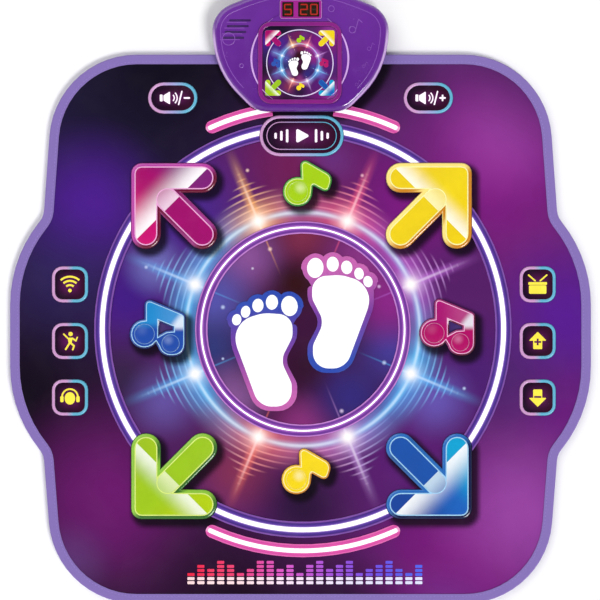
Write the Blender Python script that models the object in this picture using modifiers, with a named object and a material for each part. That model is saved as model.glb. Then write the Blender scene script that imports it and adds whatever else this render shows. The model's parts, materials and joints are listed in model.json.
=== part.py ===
"""Electronic dance mat: a layered foot-switch mat with raised press pads, light strips and a control console.

Metres, +Z up. The origin is on the floor under the middle of the mat, and +Y points to the console.
"""

import math
from collections import namedtuple

import bmesh
import bpy
from mathutils import Euler, Matrix, Vector, geometry

# The outer light ring, which the mat's ends and sides, the pads and the other lights are set out from.
RING_CENTRE_X = 0.0037
OUTER_RING_RADIUS = 0.3110
END_MARGIN = 0.1146
SIDE_MARGIN = 0.1393

# Mat outline: straight ends, rounded corners, sides that flare, step out and bulge.
UPPER_EDGE_Y = OUTER_RING_RADIUS + END_MARGIN
HALF_WIDTH = OUTER_RING_RADIUS + SIDE_MARGIN
SHOULDER_X = HALF_WIDTH - 0.0519
CORNER_X = HALF_WIDTH - 0.0699
CORNER_RADIUS = 0.136
SHOULDER_RADIUS = 0.031
BULGE_RADIUS = 0.205
BULGE_CENTRE_Y = -0.010
SHOULDER_RISE = 0.1845
BULGE_RISE = 0.1197

# Layers, from the floor up.
GAP = 0.0003
BASE_THICKNESS = 0.0010
FOAM_THICKNESS = 0.0040
FILM_THICKNESS = 0.0005
COVER_THICKNESS = 0.0008
TAPE_THICKNESS = 0.0008
TAPE_WIDTH = 0.0150
LAYER_INSET = 0.0014

# Press pads: a raised shape, held under the cover by the flange of its contact plate.
PAD_TRAVEL = 0.0015
PAD_STOP = 0.0004
PAD_RISE = 0.0035
PAD_EDGE = 0.0018
PAD_CLEARANCE = 0.0005
FLANGE_THICKNESS = 0.0008
FLANGE_LIP = 0.0020
FLANGE_RADIUS = 0.0120
WINDOW_CLEARANCE = 0.0006
BUTTON_RISE = 0.0025

# Arrow pads, each placed by its angle round the ring's centre and how far inside the ring it is.
ARROW_SPAN = 0.1325
ARROW_BAR = 0.0455
ARROW_SHAFT_REACH = 0.1102
ARROW_CORNER_RADIUS = 0.0160
ARROW_UP_LEFT = (136.3, 0.0347)
ARROW_UP_RIGHT = (44.4, 0.0378)
ARROW_DOWN_RIGHT = (310.6, 0.0108)
ARROW_DOWN_LEFT = (228.8, 0.0079)

# Note pads: heads as (x, y, radius, start angle, end angle), and the corners of stem, flag and beam.
NOTE_HEAD = (-0.0160, -0.0120, 0.0230, 78.0, 360.0)
NOTE_FLAG = (
    (0.0070, -0.0120, 0.0),
    (0.0080, -0.0025, 0.0010),
    (0.0310, -0.0150, 0.0080),
    (0.0400, 0.0120, 0.0140),
    (-0.0120, 0.0420, 0.0080),
    (-0.0120, 0.0110, 0.0),
)
PAIR_LEFT_HEAD = (-0.0205, -0.0090, 0.0230, 90.0, 320.0)
PAIR_RIGHT_HEAD = (0.0200, -0.0235, 0.0205, 195.0, 270.0)
PAIR_BEAM = (
    (0.0205, -0.0440, 0.0),
    (0.0435, -0.0440, 0.0190),
    (0.0435, 0.0215, 0.0080),
    (-0.0205, 0.0480, 0.0080),
    (-0.0205, -0.0090, 0.0),
)
PAIR_WINDOW = ((0.0030, -0.0095), (0.0130, -0.0040), (0.0230, -0.0030), (0.0230, 0.0010), (0.0030, 0.0093))
NOTE_TOP_CENTRE = (0.0116, OUTER_RING_RADIUS - 0.0860)
NOTE_BOTTOM_CENTRE = (0.0095, 0.0900 - OUTER_RING_RADIUS)
NOTE_LEFT_CENTRE = (0.0897 - OUTER_RING_RADIUS, 0.0014)
NOTE_RIGHT_CENTRE = (OUTER_RING_RADIUS - 0.0835, 0.0030)

# Buttons on the mat.
START_LENGTH = 0.1300
START_HEIGHT = 0.0630
START_CENTRE = (0.0017, OUTER_RING_RADIUS - 0.0114)
VOLUME_LENGTH = 0.0760
VOLUME_HEIGHT = 0.0480
VOLUME_X = 0.1981
VOLUME_Y = UPPER_EDGE_Y - 0.0674
SIDE_SIZE = 0.0555
SIDE_RADIUS = 0.0160
SIDE_LEFT_X = 0.0930 - HALF_WIDTH
SIDE_RIGHT_X = HALF_WIDTH - 0.0828
SIDE_MIDDLE_Y = -0.0184
SIDE_PITCH = 0.0877

# Light strips, on the cover.
OUTER_RING_WIDTH = 0.0250
INNER_RING_RADIUS = OUTER_RING_RADIUS - 0.1534
INNER_RING_WIDTH = 0.0190
ACCENT_RADIUS = OUTER_RING_RADIUS + 0.0325
ACCENT_WIDTH = 0.0200
ACCENT_HALF_ANGLE = 24.2
ACCENT_SPLIT_ANGLE = 8.0
STRIP_THICKNESS = 0.0012
STRIP_CLEARANCE = 0.0008
ARROW_ANGLE = 46.0

# Footprints, on the cover: toes as (out from the mirror line, up, radius).
FOOT_MIRROR_X = 0.0028
FOOT_LEFT_Y = -0.0340
FOOT_RIGHT_Y = 0.0251
FOOT_THICKNESS = 0.0015
FOOT_CLEARANCE = 0.0070
FOOT_REACH = 0.1411
TOES = (
    (0.1017, 0.0484, 0.0160),
    (0.0879, 0.0605, 0.0165),
    (0.0688, 0.0701, 0.0180),
    (0.0471, 0.0752, 0.0190),
    (0.0200, 0.0694, 0.0220),
)
SOLE_CORNERS = (
    (0.0080, 0.0420, 0.0060),
    (0.0080, 0.0200, 0.0300),
    (0.0270, -0.0140, 0.0240),
    (0.0080, -0.0500, 0.0200),
    (0.0080, -0.0930, 0.0290),
    (0.0720, -0.0930, 0.0330),
    (0.1110, 0.0100, 0.0500),
    (0.1110, 0.0400, 0.0060),
)

# Console: outline corners as half width and height up the mat, each with its radius.
CONSOLE_APEX_Y = UPPER_EDGE_Y + 0.1197
CONSOLE_APEX_RADIUS = 0.233
CONSOLE_UPPER = (0.1395, UPPER_EDGE_Y + 0.0633, 0.045)
CONSOLE_MIDDLE = (0.1307, UPPER_EDGE_Y - 0.0289, 0.130)
CONSOLE_LOWER = (0.0705, UPPER_EDGE_Y - 0.0891, 0.045)
CONSOLE_TOP = 0.0350
CONSOLE_SPLIT = 0.0200
CONSOLE_WALL = 0.0025
CONSOLE_ROOF = 0.0030
CONSOLE_EDGE = 0.0080
CONSOLE_FLOOR = 0.0022
CONSOLE_STEP_Y = UPPER_EDGE_Y + 0.0054
BOSS_CENTRE_Y = UPPER_EDGE_Y - 0.0086
BOSS_RADIUS = 0.0755
BOSS_RISE = 0.0012
BOSS_SIDES = 32
FLOOR_EDGE = 0.0020

# Picture panel and display, set into the console's roof.
PICTURE_X = -0.0010
PICTURE_Y = UPPER_EDGE_Y - 0.0146
PICTURE_WIDTH = 0.1155
PICTURE_HEIGHT = 0.1130
PICTURE_RADIUS = 0.0130
PICTURE_FRAME = 0.0068
PICTURE_DEPTH = 0.0022
PICTURE_PANEL_THICKNESS = 0.0015
PICTURE_FRAME_RISE = 0.0012
PICTURE_FRAME_EDGE = 0.0008
DISPLAY_X = 0.0005
DISPLAY_Y = UPPER_EDGE_Y + 0.0677
DISPLAY_WIDTH = 0.0650
DISPLAY_HEIGHT = 0.0294
DISPLAY_RADIUS = 0.0035
DISPLAY_DEPTH = 0.0016
DISPLAY_LENS_THICKNESS = 0.0007
DISPLAY_FRAME_RISE = 0.0012
DISPLAY_LEDGE = 0.0035
DIGIT_HEIGHT = 0.0228
DIGIT_RADIUS = 0.0008
DIGIT_WINDOWS = ((-0.0200, 0.0174), (0.0122, 0.0327))
MODULE_MARGIN = 0.0015
SEAT_CLEARANCE = 0.0004

# Board, posts and tail.
BOARD_WIDTH = 0.1400
BOARD_LENGTH = 0.1000
BOARD_CENTRE_Y = UPPER_EDGE_Y + 0.0294
BOARD_THICKNESS = 0.0016
BOARD_HEIGHT = 0.0236
BOARD_RADIUS = 0.0030
CHIP_HEIGHT = 0.0018
CHIP_Y = UPPER_EDGE_Y + 0.0094
CHIPS = ((-0.0400, 0.0140), (0.0400, 0.0200))
POST_RADIUS = 0.0040
POST_INSET = 0.0080
TAIL_WIDTH = 0.0240
TAIL_THICKNESS = 0.0005
TAIL_START_Y = UPPER_EDGE_Y - 0.0736
TAIL_RISE_Y = UPPER_EDGE_Y - 0.0396
TAIL_END_Y = UPPER_EDGE_Y - 0.0106
TAIL_SLOT = 0.0015
TAIL_MARGIN = 0.0020

# Speaker, under its slots: profiles as (radius, height below its rim).
SPEAKER_X = -0.0985
SPEAKER_Y = UPPER_EDGE_Y + 0.0374
SPEAKER_BASKET = (
    (0.0215, 0.0),
    (0.0215, -0.0015),
    (0.0195, -0.0015),
    (0.0110, -0.0070),
    (0.0080, -0.0070),
    (0.0080, -0.0060),
    (0.0100, -0.0060),
    (0.0185, 0.0),
)
SPEAKER_CONE = (
    (0.0, -0.0047),
    (0.0082, -0.0047),
    (0.0171, 0.0),
    (0.0181, 0.0),
    (0.0089, -0.0057),
    (0.0, -0.0057),
)
SPEAKER_MAGNET = ((0.0, -0.0073), (0.0110, -0.0073), (0.0110, -0.0133), (0.0, -0.0133))
SLOT_LENGTH = 0.0336
SLOT_WIDTH = 0.0033
SLOT_PITCH = 0.0089
SLOT_STEP = -0.0035
SLOT_COUNT = 4

# Batteries, bay and door.
CELL_LENGTH = 0.0505
CELL_RADIUS = 0.00725
CELL_NUB_RADIUS = 0.0028
CELL_NUB = 0.0010
CELL_COUNT = 3
CELL_PITCH = 0.0154
BAY_Y = UPPER_EDGE_Y + 0.0394
BAY_WALL = 0.0016
BAY_CLEARANCE = 0.0006
CONTACT_DEPTH = 0.0055
CONTACT_PLATE = 0.0006
CONTACT_MARGIN = 0.0010
CONTACT_BASE_RADIUS = 0.0032
CONTACT_TIP_RADIUS = 0.0020
DOOR_THICKNESS = 0.0016
DOOR_RECESS = 0.0006
DOOR_CLEARANCE = 0.0004
DOOR_PIVOT_INSET = 0.0010
DOOR_RADIUS = 0.0010

# Power switch, in the console's rear wall.
SWITCH_TRAVEL = 0.0050
SWITCH_NUB = 0.0045
SWITCH_NUB_OUT = 0.0015
SWITCH_PLATE = 0.0018
SWITCH_MARGIN = 0.0015
SWITCH_HEIGHT = 0.0110
SWITCH_SLOT_CLEARANCE = 0.0005

# Screws.
SCREW_RADIUS = 0.0014
SCREW_HEAD_RADIUS = 0.0034
SCREW_HEAD_HEIGHT = 0.0020
SCREW_HEAD_BEVEL = 0.0009
SCREW_CLEARANCE = 0.0004
LAYER_HOLE_RADIUS = 0.0029
SCREW_BOSS_RADIUS = 0.0050
SCREW_SEAT = 0.0140
CASE_SCREW_END = 0.0290
CASE_SCREWS = ((0.1215, UPPER_EDGE_Y + 0.0154), (0.0500, UPPER_EDGE_Y - 0.0716))
CLAMP_SCREW_X = 0.0820
CLAMP_SCREW_Y = UPPER_EDGE_Y - 0.0306
CLAMP_SCREW_END = 0.0200
CLAMP_BAR_WIDTH = 0.0200
CLAMP_CLEARANCE = 0.0005
CLAMP_SEAT = 0.0032

# How far a chord may lie inside its arc, the least edge, the depth that joined shapes share, a far distance.
ARC_TOLERANCE = 0.00025
LEAST_EDGE = 0.0001
OVERLAP = 0.0010
FAR = 1.0
ROUND_SIDES = 12
BORE_SIDES = 8
SCREW_SIDES = 10

WHITE = (0.85, 0.80, 0.95)
PINK = (0.80, 0.25, 0.60)
MAGENTA = (0.55, 0.02, 0.28)
YELLOW = (0.90, 0.66, 0.04)
BLUE = (0.02, 0.18, 0.55)
GREEN = (0.36, 0.62, 0.03)
MAROON = (0.10, 0.01, 0.08)
PURPLE = (0.14, 0.03, 0.30)
VIOLET = (0.20, 0.13, 0.42)
DARK_VIOLET = (0.10, 0.02, 0.18)
FRAME_MAGENTA = (0.45, 0.03, 0.35)
LIGHT_FOAM = (0.65, 0.65, 0.68)
FILM = (0.60, 0.66, 0.62)
BLACK = (0.03, 0.03, 0.03)
STEEL = (0.55, 0.55, 0.57)
BOARD_GREEN = (0.02, 0.18, 0.07)
CELL_GREEN = (0.05, 0.12, 0.10)
LENS_RED = (0.03, 0.0, 0.0)

BASE_TOP = BASE_THICKNESS
FOAM_BOTTOM = BASE_TOP + GAP
FOAM_TOP = FOAM_BOTTOM + FOAM_THICKNESS
FILM_BOTTOM = FOAM_TOP + GAP
FILM_TOP = FILM_BOTTOM + FILM_THICKNESS
FLANGE_BOTTOM = FILM_TOP + PAD_STOP + PAD_TRAVEL
FLANGE_TOP = FLANGE_BOTTOM + FLANGE_THICKNESS
COVER_BOTTOM = FLANGE_TOP + GAP
SPACER_BOTTOM = FILM_TOP + GAP
SPACER_TOP = COVER_BOTTOM - GAP
COVER_TOP = COVER_BOTTOM + COVER_THICKNESS
TAPE_TOP = COVER_TOP + GAP + TAPE_THICKNESS
STEP_BOTTOM = TAPE_TOP + GAP
STEP_TOP = STEP_BOTTOM + CONSOLE_FLOOR
ROOF_BOTTOM = CONSOLE_TOP - CONSOLE_ROOF
BOSS_TOP = CONSOLE_TOP + BOSS_RISE
BOARD_TOP = BOARD_HEIGHT + BOARD_THICKNESS
DOOR_TOP = DOOR_RECESS + DOOR_THICKNESS
CELL_Z = DOOR_TOP + GAP + CELL_RADIUS
BAY_TOP = CELL_Z + CELL_RADIUS + BAY_CLEARANCE
BAY_HALF_X = CELL_LENGTH / 2 + CONTACT_DEPTH
BAY_HALF_Y = (CELL_COUNT - 1) / 2 * CELL_PITCH + CELL_RADIUS + BAY_CLEARANCE

Pad = namedtuple("Pad", "name outline holes flange centre rise colour")


def wipe_scene():
    for old in list(bpy.data.objects):
        bpy.data.objects.remove(old)


def new_collection(name):
    made = bpy.data.collections.new(name)
    bpy.context.scene.collection.children.link(made)
    return made


wipe_scene()
PARTS = new_collection("dance_mat")
CUTTERS = new_collection("cutters")
CUTTERS.hide_render = True


# Outlines in the plane: lists of (x, y), counter-clockwise.
def chords(radius, turn):
    """How many chords an arc takes to stay within the tolerance."""
    return max(1, math.ceil(abs(turn) / (2 * math.acos(1 - min(1, ARC_TOLERANCE / radius)))))


def arc(centre, radius, start, end):
    """Points on a circle from one angle to another, both in degrees."""
    start, end = math.radians(start), math.radians(end)
    count = chords(radius, end - start)
    angles = [start + (end - start) * i / count for i in range(count + 1)]
    return [(centre[0] + radius * math.cos(a), centre[1] + radius * math.sin(a)) for a in angles]


def rounded(corners):
    """A polygon whose corners, each (x, y, radius), are rounded with arcs that fit on their sides."""
    places = [Vector(corner[:2]) for corner in corners]
    count = len(corners)
    backs = [(places[i - 1] - places[i]).normalized() for i in range(count)]
    turns = [math.pi - backs[i].angle(-backs[(i + 1) % count]) for i in range(count)]
    reaches = [corner[2] * math.tan(turn / 2) for corner, turn in zip(corners, turns)]
    for i in range(count):
        side, both = (places[i] - places[i - 1]).length, reaches[i] + reaches[i - 1]
        if both > side:
            reaches[i] *= side / both
            reaches[i - 1] *= side / both
    points = []
    for i, here in enumerate(places):
        back, on, reach = backs[i], -backs[(i + 1) % count], reaches[i]
        if reach < LEAST_EDGE:
            points.append(tuple(here))
            continue
        radius = reach / math.tan(turns[i] / 2)
        centre = here + (back + on).normalized() * radius / math.cos(turns[i] / 2)
        first, last = here + back * reach - centre, here + on * reach - centre
        steps = chords(radius, turns[i])
        swing = first.angle_signed(last)
        for k in range(steps + 1):
            spoke = first.copy()
            spoke.rotate(Matrix.Rotation(-swing * k / steps, 2))
            points.append(tuple(centre + spoke))
    return apart(points)


def apart(points):
    """The outline without points that lie on the one before them, as where two arcs meet."""
    return [point for i, point in enumerate(points) if math.dist(point, points[i - 1]) > LEAST_EDGE]


def box_round(points, margin, radius):
    """A rounded rectangle round an outline, larger than it on each side by a margin."""
    xs, ys = zip(*points)
    centre = (min(xs) + max(xs)) / 2, (min(ys) + max(ys)) / 2
    return box_outline(max(xs) - min(xs) + 2 * margin, max(ys) - min(ys) + 2 * margin, radius, centre)


def hull(points):
    return [points[i] for i in geometry.convex_hull_2d(points)]


def box_outline(width, height, radius=0.0, centre=(0.0, 0.0)):
    x, y = centre
    w, h = width / 2, height / 2
    r = min(radius, w, h)
    return rounded([(x - w, y - h, r), (x + w, y - h, r), (x + w, y + h, r), (x - w, y + h, r)])


def grown(points, distance):
    """The outline pushed outwards by a distance; a negative one draws it in."""
    moved = []
    for i, point in enumerate(points):
        here = Vector(point)
        before = (here - Vector(points[i - 1])).normalized()
        after = (Vector(points[(i + 1) % len(points)]) - here).normalized()
        side = Vector((before.y, -before.x)) + Vector((after.y, -after.x))
        side /= 1 + before.dot(after)
        moved.append(tuple(here + side * distance))
    return moved


def placed(points, centre=(0.0, 0.0), turn=0.0, mirrored=False):
    """The outline turned by an angle in degrees, perhaps mirrored left to right, and moved."""
    c, s = math.cos(math.radians(turn)), math.sin(math.radians(turn))
    flip = -1 if mirrored else 1
    moved = [(flip * x * c - y * s + centre[0], flip * x * s + y * c + centre[1]) for x, y in points]
    return moved[::-1] if mirrored else moved


# Objects.
def finish(obj, colour, roughness=0.5, metallic=0.0):
    material = bpy.data.materials.new(obj.name)
    material.use_nodes = True
    shader = material.node_tree.nodes["Principled BSDF"]
    shader.inputs["Base Color"].default_value = (*colour, 1)
    shader.inputs["Roughness"].default_value = roughness
    shader.inputs["Metallic"].default_value = metallic
    material.diffuse_color = (*colour, 1)
    obj.data.materials.append(material)
    return obj


def plate(name, outlines, bottom, top, edge=0.0, edge_steps=0, centre=(0.0, 0.0)):
    """A flat solid between two heights; outlines after the first are holes in it."""
    curve = bpy.data.curves.new(name, "CURVE")
    curve.dimensions = "2D"
    curve.fill_mode = "BOTH"
    curve.extrude = (top - bottom) / 2 - edge
    curve.bevel_depth = edge
    curve.bevel_resolution = edge_steps
    curve.offset = -edge
    for points in outlines:
        spline = curve.splines.new("POLY")
        spline.points.add(len(points) - 1)
        for point, (x, y) in zip(spline.points, points):
            point.co = (x, y, 0, 1)
        spline.use_cyclic_u = True
    obj = bpy.data.objects.new(name, curve)
    obj.location = (*centre, (bottom + top) / 2)
    PARTS.objects.link(obj)
    return obj


def as_mesh(obj):
    """The same object as a mesh with its caps welded on, so that it can be cut and joined."""
    bpy.context.view_layer.update()
    mesh = bpy.data.meshes.new_from_object(obj.evaluated_get(bpy.context.evaluated_depsgraph_get()))
    bm = bmesh.new()
    bm.from_mesh(mesh)
    bmesh.ops.remove_doubles(bm, verts=bm.verts, dist=1e-6)
    bmesh.ops.dissolve_degenerate(bm, edges=bm.edges, dist=1e-7)
    bmesh.ops.recalc_face_normals(bm, faces=bm.faces)
    bm.to_mesh(mesh)
    bm.free()
    name, place = obj.name, obj.matrix_world.copy()
    bpy.data.objects.remove(obj)
    made = bpy.data.objects.new(name, mesh)
    made.matrix_world = place
    PARTS.objects.link(made)
    return made


def solid_plate(*args, **kwargs):
    return as_mesh(plate(*args, **kwargs))


def raised_plate(name, outlines, bottom, top, edge, edge_steps=0, centre=(0.0, 0.0)):
    """A plate with only its upper edge bevelled: it is made deeper and cut off at its bottom."""
    obj = solid_plate(name, outlines, bottom - 2 * edge, top, edge, edge_steps, centre)
    bm = bmesh.new()
    bm.from_mesh(obj.data)
    level = (0, 0, bottom - obj.location.z)
    parts = [*bm.verts, *bm.edges, *bm.faces]
    found = bmesh.ops.bisect_plane(bm, geom=parts, plane_co=level, plane_no=(0, 0, -1), clear_outer=True)
    rim = [edge for edge in found["geom_cut"] if isinstance(edge, bmesh.types.BMEdge)]
    bmesh.ops.triangle_fill(bm, edges=rim, use_dissolve=True)
    bmesh.ops.recalc_face_normals(bm, faces=bm.faces)
    bm.to_mesh(obj.data)
    bm.free()
    return obj


def turned(name, profile, centre, sides=ROUND_SIDES):
    """A closed profile of (radius, height) pairs turned round an upright axis, outer side downwards."""
    mesh = bpy.data.meshes.new(name)
    bm = bmesh.new()
    points = [bm.verts.new((r, 0, z)) for r, z in profile]
    pairs = list(zip(points, points[1:]))
    if min(r for r, _ in profile) > 0:
        pairs.append((points[-1], points[0]))
    for a, b in pairs:
        bm.edges.new((a, b))
    bm.to_mesh(mesh)
    bm.free()
    obj = bpy.data.objects.new(name, mesh)
    obj.location = centre
    PARTS.objects.link(obj)
    screw = obj.modifiers.new("turn", "SCREW")
    screw.steps = screw.render_steps = sides
    screw.use_merge_vertices = True
    screw.merge_threshold = 1e-5
    return obj


def cylinder(name, radius, bottom, top, centre, sides=ROUND_SIDES):
    return turned(name, [(0, top), (radius, top), (radius, bottom), (0, bottom)], (*centre, 0), sides)


def block(name, low, high):
    """A box between two corners."""
    mesh = bpy.data.meshes.new(name)
    bm = bmesh.new()
    bmesh.ops.create_cube(bm, size=1)
    low, high = Vector(low), Vector(high)
    bmesh.ops.scale(bm, vec=high - low, verts=bm.verts)
    bmesh.ops.translate(bm, vec=(high + low) / 2, verts=bm.verts)
    bm.to_mesh(mesh)
    bm.free()
    obj = bpy.data.objects.new(name, mesh)
    PARTS.objects.link(obj)
    return obj


def helper(obj):
    """Keeps an object only as a cutter or a piece to be joined."""
    obj.hide_render = True
    obj.display_type = "WIRE"
    for holder in list(obj.users_collection):
        holder.objects.unlink(obj)
    CUTTERS.objects.link(obj)
    return obj


def boolean(obj, other, operation):
    modifier = obj.modifiers.new(operation.lower(), "BOOLEAN")
    modifier.operation = operation
    modifier.object = helper(other)


def cut(obj, *others):
    for other in others:
        boolean(obj, other, "DIFFERENCE")
    return obj


def join(obj, *others):
    for other in others:
        boolean(obj, other, "UNION")
    return obj


def cutter_plate(name, outline, bottom, top):
    return solid_plate(name, [outline], bottom, top)


# Mat outline and layers.
def mat_outline(inset=0.0):
    right = [
        (CORNER_X, -UPPER_EDGE_Y, CORNER_RADIUS),
        (SHOULDER_X, BULGE_CENTRE_Y - SHOULDER_RISE, SHOULDER_RADIUS),
        (HALF_WIDTH, BULGE_CENTRE_Y - BULGE_RISE, BULGE_RADIUS),
        (HALF_WIDTH, BULGE_CENTRE_Y + BULGE_RISE, BULGE_RADIUS),
        (SHOULDER_X, BULGE_CENTRE_Y + SHOULDER_RISE, SHOULDER_RADIUS),
        (CORNER_X, UPPER_EDGE_Y, CORNER_RADIUS),
    ]
    left = [(-x, y, r) for x, y, r in reversed(right)]
    return grown(rounded(right + left), -inset)


# Shapes of the press pads, each round its own centre.
def arrow_outline():
    """A head of two round-ended bars that meet in a corner up and to the left, and a round-ended shaft."""
    half, bar, diagonal = ARROW_SPAN / 2, ARROW_BAR, math.sqrt(0.5)
    end = bar / 2
    notch = bar + bar * (math.sqrt(2) - 1) / 2 + bar / 2
    tip = ARROW_SHAFT_REACH + end * diagonal
    side = bar / 2 * diagonal
    corners = [
        (0, 0, ARROW_CORNER_RADIUS),
        (0, -ARROW_SPAN, end),
        (bar, -ARROW_SPAN, end),
        (bar, -notch, 0),
        (tip - side, -tip - side, end),
        (tip + side, -tip + side, end),
        (notch, -bar, 0),
        (ARROW_SPAN, -bar, end),
        (ARROW_SPAN, 0, end),
    ]
    return [(x - half, y + half) for x, y in rounded(corners)]


def note_outline():
    """A single note: a round head, a stem and a short thick flag that slopes down."""
    *centre, radius, start, end = NOTE_HEAD
    return arc(centre, radius, start, end) + rounded(NOTE_FLAG)[1:-1]


def pair_outline():
    """Two notes under one sloping beam."""
    points = []
    for *centre, radius, start, end in (PAIR_LEFT_HEAD, PAIR_RIGHT_HEAD):
        points += arc(centre, radius, start, end)
    return points + rounded(PAIR_BEAM)[1:-1]


def pads():
    rows = []
    arrow, note, pair = arrow_outline(), note_outline(), pair_outline()
    for name, (angle, inside), turn, colour in (
        ("up_left", ARROW_UP_LEFT, 0, MAGENTA),
        ("up_right", ARROW_UP_RIGHT, -90, YELLOW),
        ("down_right", ARROW_DOWN_RIGHT, 180, BLUE),
        ("down_left", ARROW_DOWN_LEFT, 90, GREEN),
    ):
        centre = arc((RING_CENTRE_X, 0), OUTER_RING_RADIUS - inside, angle, angle)[0]
        rows.append(("arrow_pad_" + name, placed(arrow, turn=turn), [], centre, colour))
    rows.append(("note_pad_top", note, [], NOTE_TOP_CENTRE, GREEN))
    rows.append(("note_pad_bottom", note, [], NOTE_BOTTOM_CENTRE, YELLOW))
    rows.append(("note_pad_left", pair, [PAIR_WINDOW], NOTE_LEFT_CENTRE, BLUE))
    rows.append(("note_pad_right", pair, [PAIR_WINDOW], NOTE_RIGHT_CENTRE, MAGENTA))
    made = []
    for name, outline, holes, centre, colour in rows:
        flange = box_round(outline, FLANGE_LIP, FLANGE_RADIUS)
        made.append(Pad(name, outline, holes, flange, centre, PAD_RISE, colour))
    buttons = [("start_button", START_LENGTH, START_HEIGHT, START_HEIGHT / 2, START_CENTRE)]
    for name, x in (("volume_down_button", -VOLUME_X), ("volume_up_button", VOLUME_X)):
        buttons.append((name, VOLUME_LENGTH, VOLUME_HEIGHT, VOLUME_HEIGHT / 2, (x, VOLUME_Y)))
    for side, x in (("left", SIDE_LEFT_X), ("right", SIDE_RIGHT_X)):
        for step, row in ((1, "top"), (0, "middle"), (-1, "bottom")):
            centre = (x, SIDE_MIDDLE_Y + step * SIDE_PITCH)
            buttons.append((f"side_button_{side}_{row}", SIDE_SIZE, SIDE_SIZE, SIDE_RADIUS, centre))
    for name, width, height, radius, centre in buttons:
        outline = box_outline(width, height, radius)
        made.append(Pad(name, outline, [], grown(outline, FLANGE_LIP), centre, BUTTON_RISE, MAROON))
    return made


PADS = pads()


def clamp_screw_places():
    return [(side * CLAMP_SCREW_X, CLAMP_SCREW_Y) for side in (-1, 1)]


def clamp_holes(radius):
    """Holes through a layer of the mat for the two clamp screws."""
    return [box_outline(2 * radius, 2 * radius, radius, centre) for centre in clamp_screw_places()]


def clamp_outline():
    length = 2 * CLAMP_SCREW_X + CLAMP_BAR_WIDTH
    return box_outline(length, CLAMP_BAR_WIDTH, CLAMP_BAR_WIDTH / 4, (0, CLAMP_SCREW_Y))


def tail_slot():
    slot = 2 * TAIL_SLOT + TAIL_THICKNESS
    return box_outline(TAIL_WIDTH + TAIL_MARGIN, slot, 0, (0, TAIL_RISE_Y + TAIL_THICKNESS / 2))


def build_mat():
    heads = clamp_holes(SCREW_HEAD_RADIUS + 2 * SCREW_CLEARANCE)
    base = plate("non_slip_base", [mat_outline(TAPE_WIDTH + GAP), *heads], 0, BASE_TOP)
    finish(base, BLACK, 0.9)
    bar_hole = grown(clamp_outline(), CLAMP_CLEARANCE)
    foam = plate("foam_pad", [mat_outline(LAYER_INSET), bar_hole], FOAM_BOTTOM, FOAM_TOP)
    finish(foam, LIGHT_FOAM, 0.95)
    screw_holes = clamp_holes(LAYER_HOLE_RADIUS)
    film = plate("circuit_film", [mat_outline(LAYER_INSET), *screw_holes], FILM_BOTTOM, FILM_TOP)
    finish(film, FILM, 0.35)
    windows = [placed(grown(pad.flange, WINDOW_CLEARANCE), pad.centre) for pad in PADS]
    tail_length = TAIL_RISE_Y - TAIL_START_Y + 2 * TAIL_MARGIN
    tail_middle = (0, (TAIL_RISE_Y + TAIL_START_Y) / 2)
    tail_window = box_outline(TAIL_WIDTH + 2 * TAIL_MARGIN, tail_length, 0, tail_middle)
    holes = [*windows, *screw_holes, tail_window]
    spacer = plate("spacer_foam", [mat_outline(LAYER_INSET), *holes], SPACER_BOTTOM, SPACER_TOP)
    finish(spacer, LIGHT_FOAM, 0.95)
    openings = [placed(grown(pad.outline, PAD_CLEARANCE), pad.centre) for pad in PADS]
    holes = [*openings, *screw_holes, tail_slot()]
    cover = plate("printed_cover", [mat_outline(LAYER_INSET), *holes], COVER_BOTTOM, COVER_TOP)
    finish(cover, DARK_VIOLET, 0.4)
    tape = solid_plate("edge_binding", [mat_outline(), mat_outline(TAPE_WIDTH)], 0, TAPE_TOP)
    inside = mat_outline(TAPE_THICKNESS)
    channel = cutter_plate("binding_channel", inside, BASE_TOP, TAPE_TOP - TAPE_THICKNESS)
    finish(cut(tape, channel), VIOLET, 0.75)
    bar = solid_plate("clamp_bar", [clamp_outline()], FOAM_BOTTOM, FOAM_TOP)
    for centre in clamp_screw_places():
        bore = cylinder("clamp_bore", SCREW_RADIUS + SCREW_CLEARANCE, 0, CONSOLE_TOP, centre)
        sink = cylinder("clamp_sink", SCREW_HEAD_RADIUS + SCREW_CLEARANCE, 0, CLAMP_SEAT, centre)
        cut(bar, bore, sink)
    finish(bar, BLACK, 0.5)


def build_pads():
    """Each pad's body stands on a contact plate, wider than it, that lies under the cover."""
    middle = (FLANGE_BOTTOM + FLANGE_TOP) / 2
    for pad in PADS:
        outlines = [pad.outline, *pad.holes]
        body = raised_plate(pad.name, outlines, middle, COVER_TOP + pad.rise, PAD_EDGE, centre=pad.centre)
        name = pad.name + "_contact"
        contact = solid_plate(name, [pad.flange], FLANGE_BOTTOM, FLANGE_TOP, centre=pad.centre)
        finish(join(body, contact), pad.colour, 0.25)


# Light strips.
def sector(radius, width, start, end, round_start=False, round_end=False):
    """A band round the rings' centre between two angles, with square or round ends."""
    centre = (RING_CENTRE_X, 0.0)
    points = arc(centre, radius + width / 2, start, end)
    if round_end:
        points += arc(arc(centre, radius, end, end)[0], width / 2, end, end + 180)[1:-1]
    points += arc(centre, radius - width / 2, end, start)
    if round_start:
        points += arc(arc(centre, radius, start, start)[0], width / 2, start - 180, start)[1:-1]
    return points


def strip(name, outline, colour, cutters):
    made = solid_plate(name, [outline], COVER_TOP + GAP, COVER_TOP + GAP + STRIP_THICKNESS)
    for i, shape in enumerate(cutters):
        cut(made, cutter_plate(f"{name}_cutter_{i}", shape, 0, CONSOLE_TOP))
    return finish(made, colour, 0.3)


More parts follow.
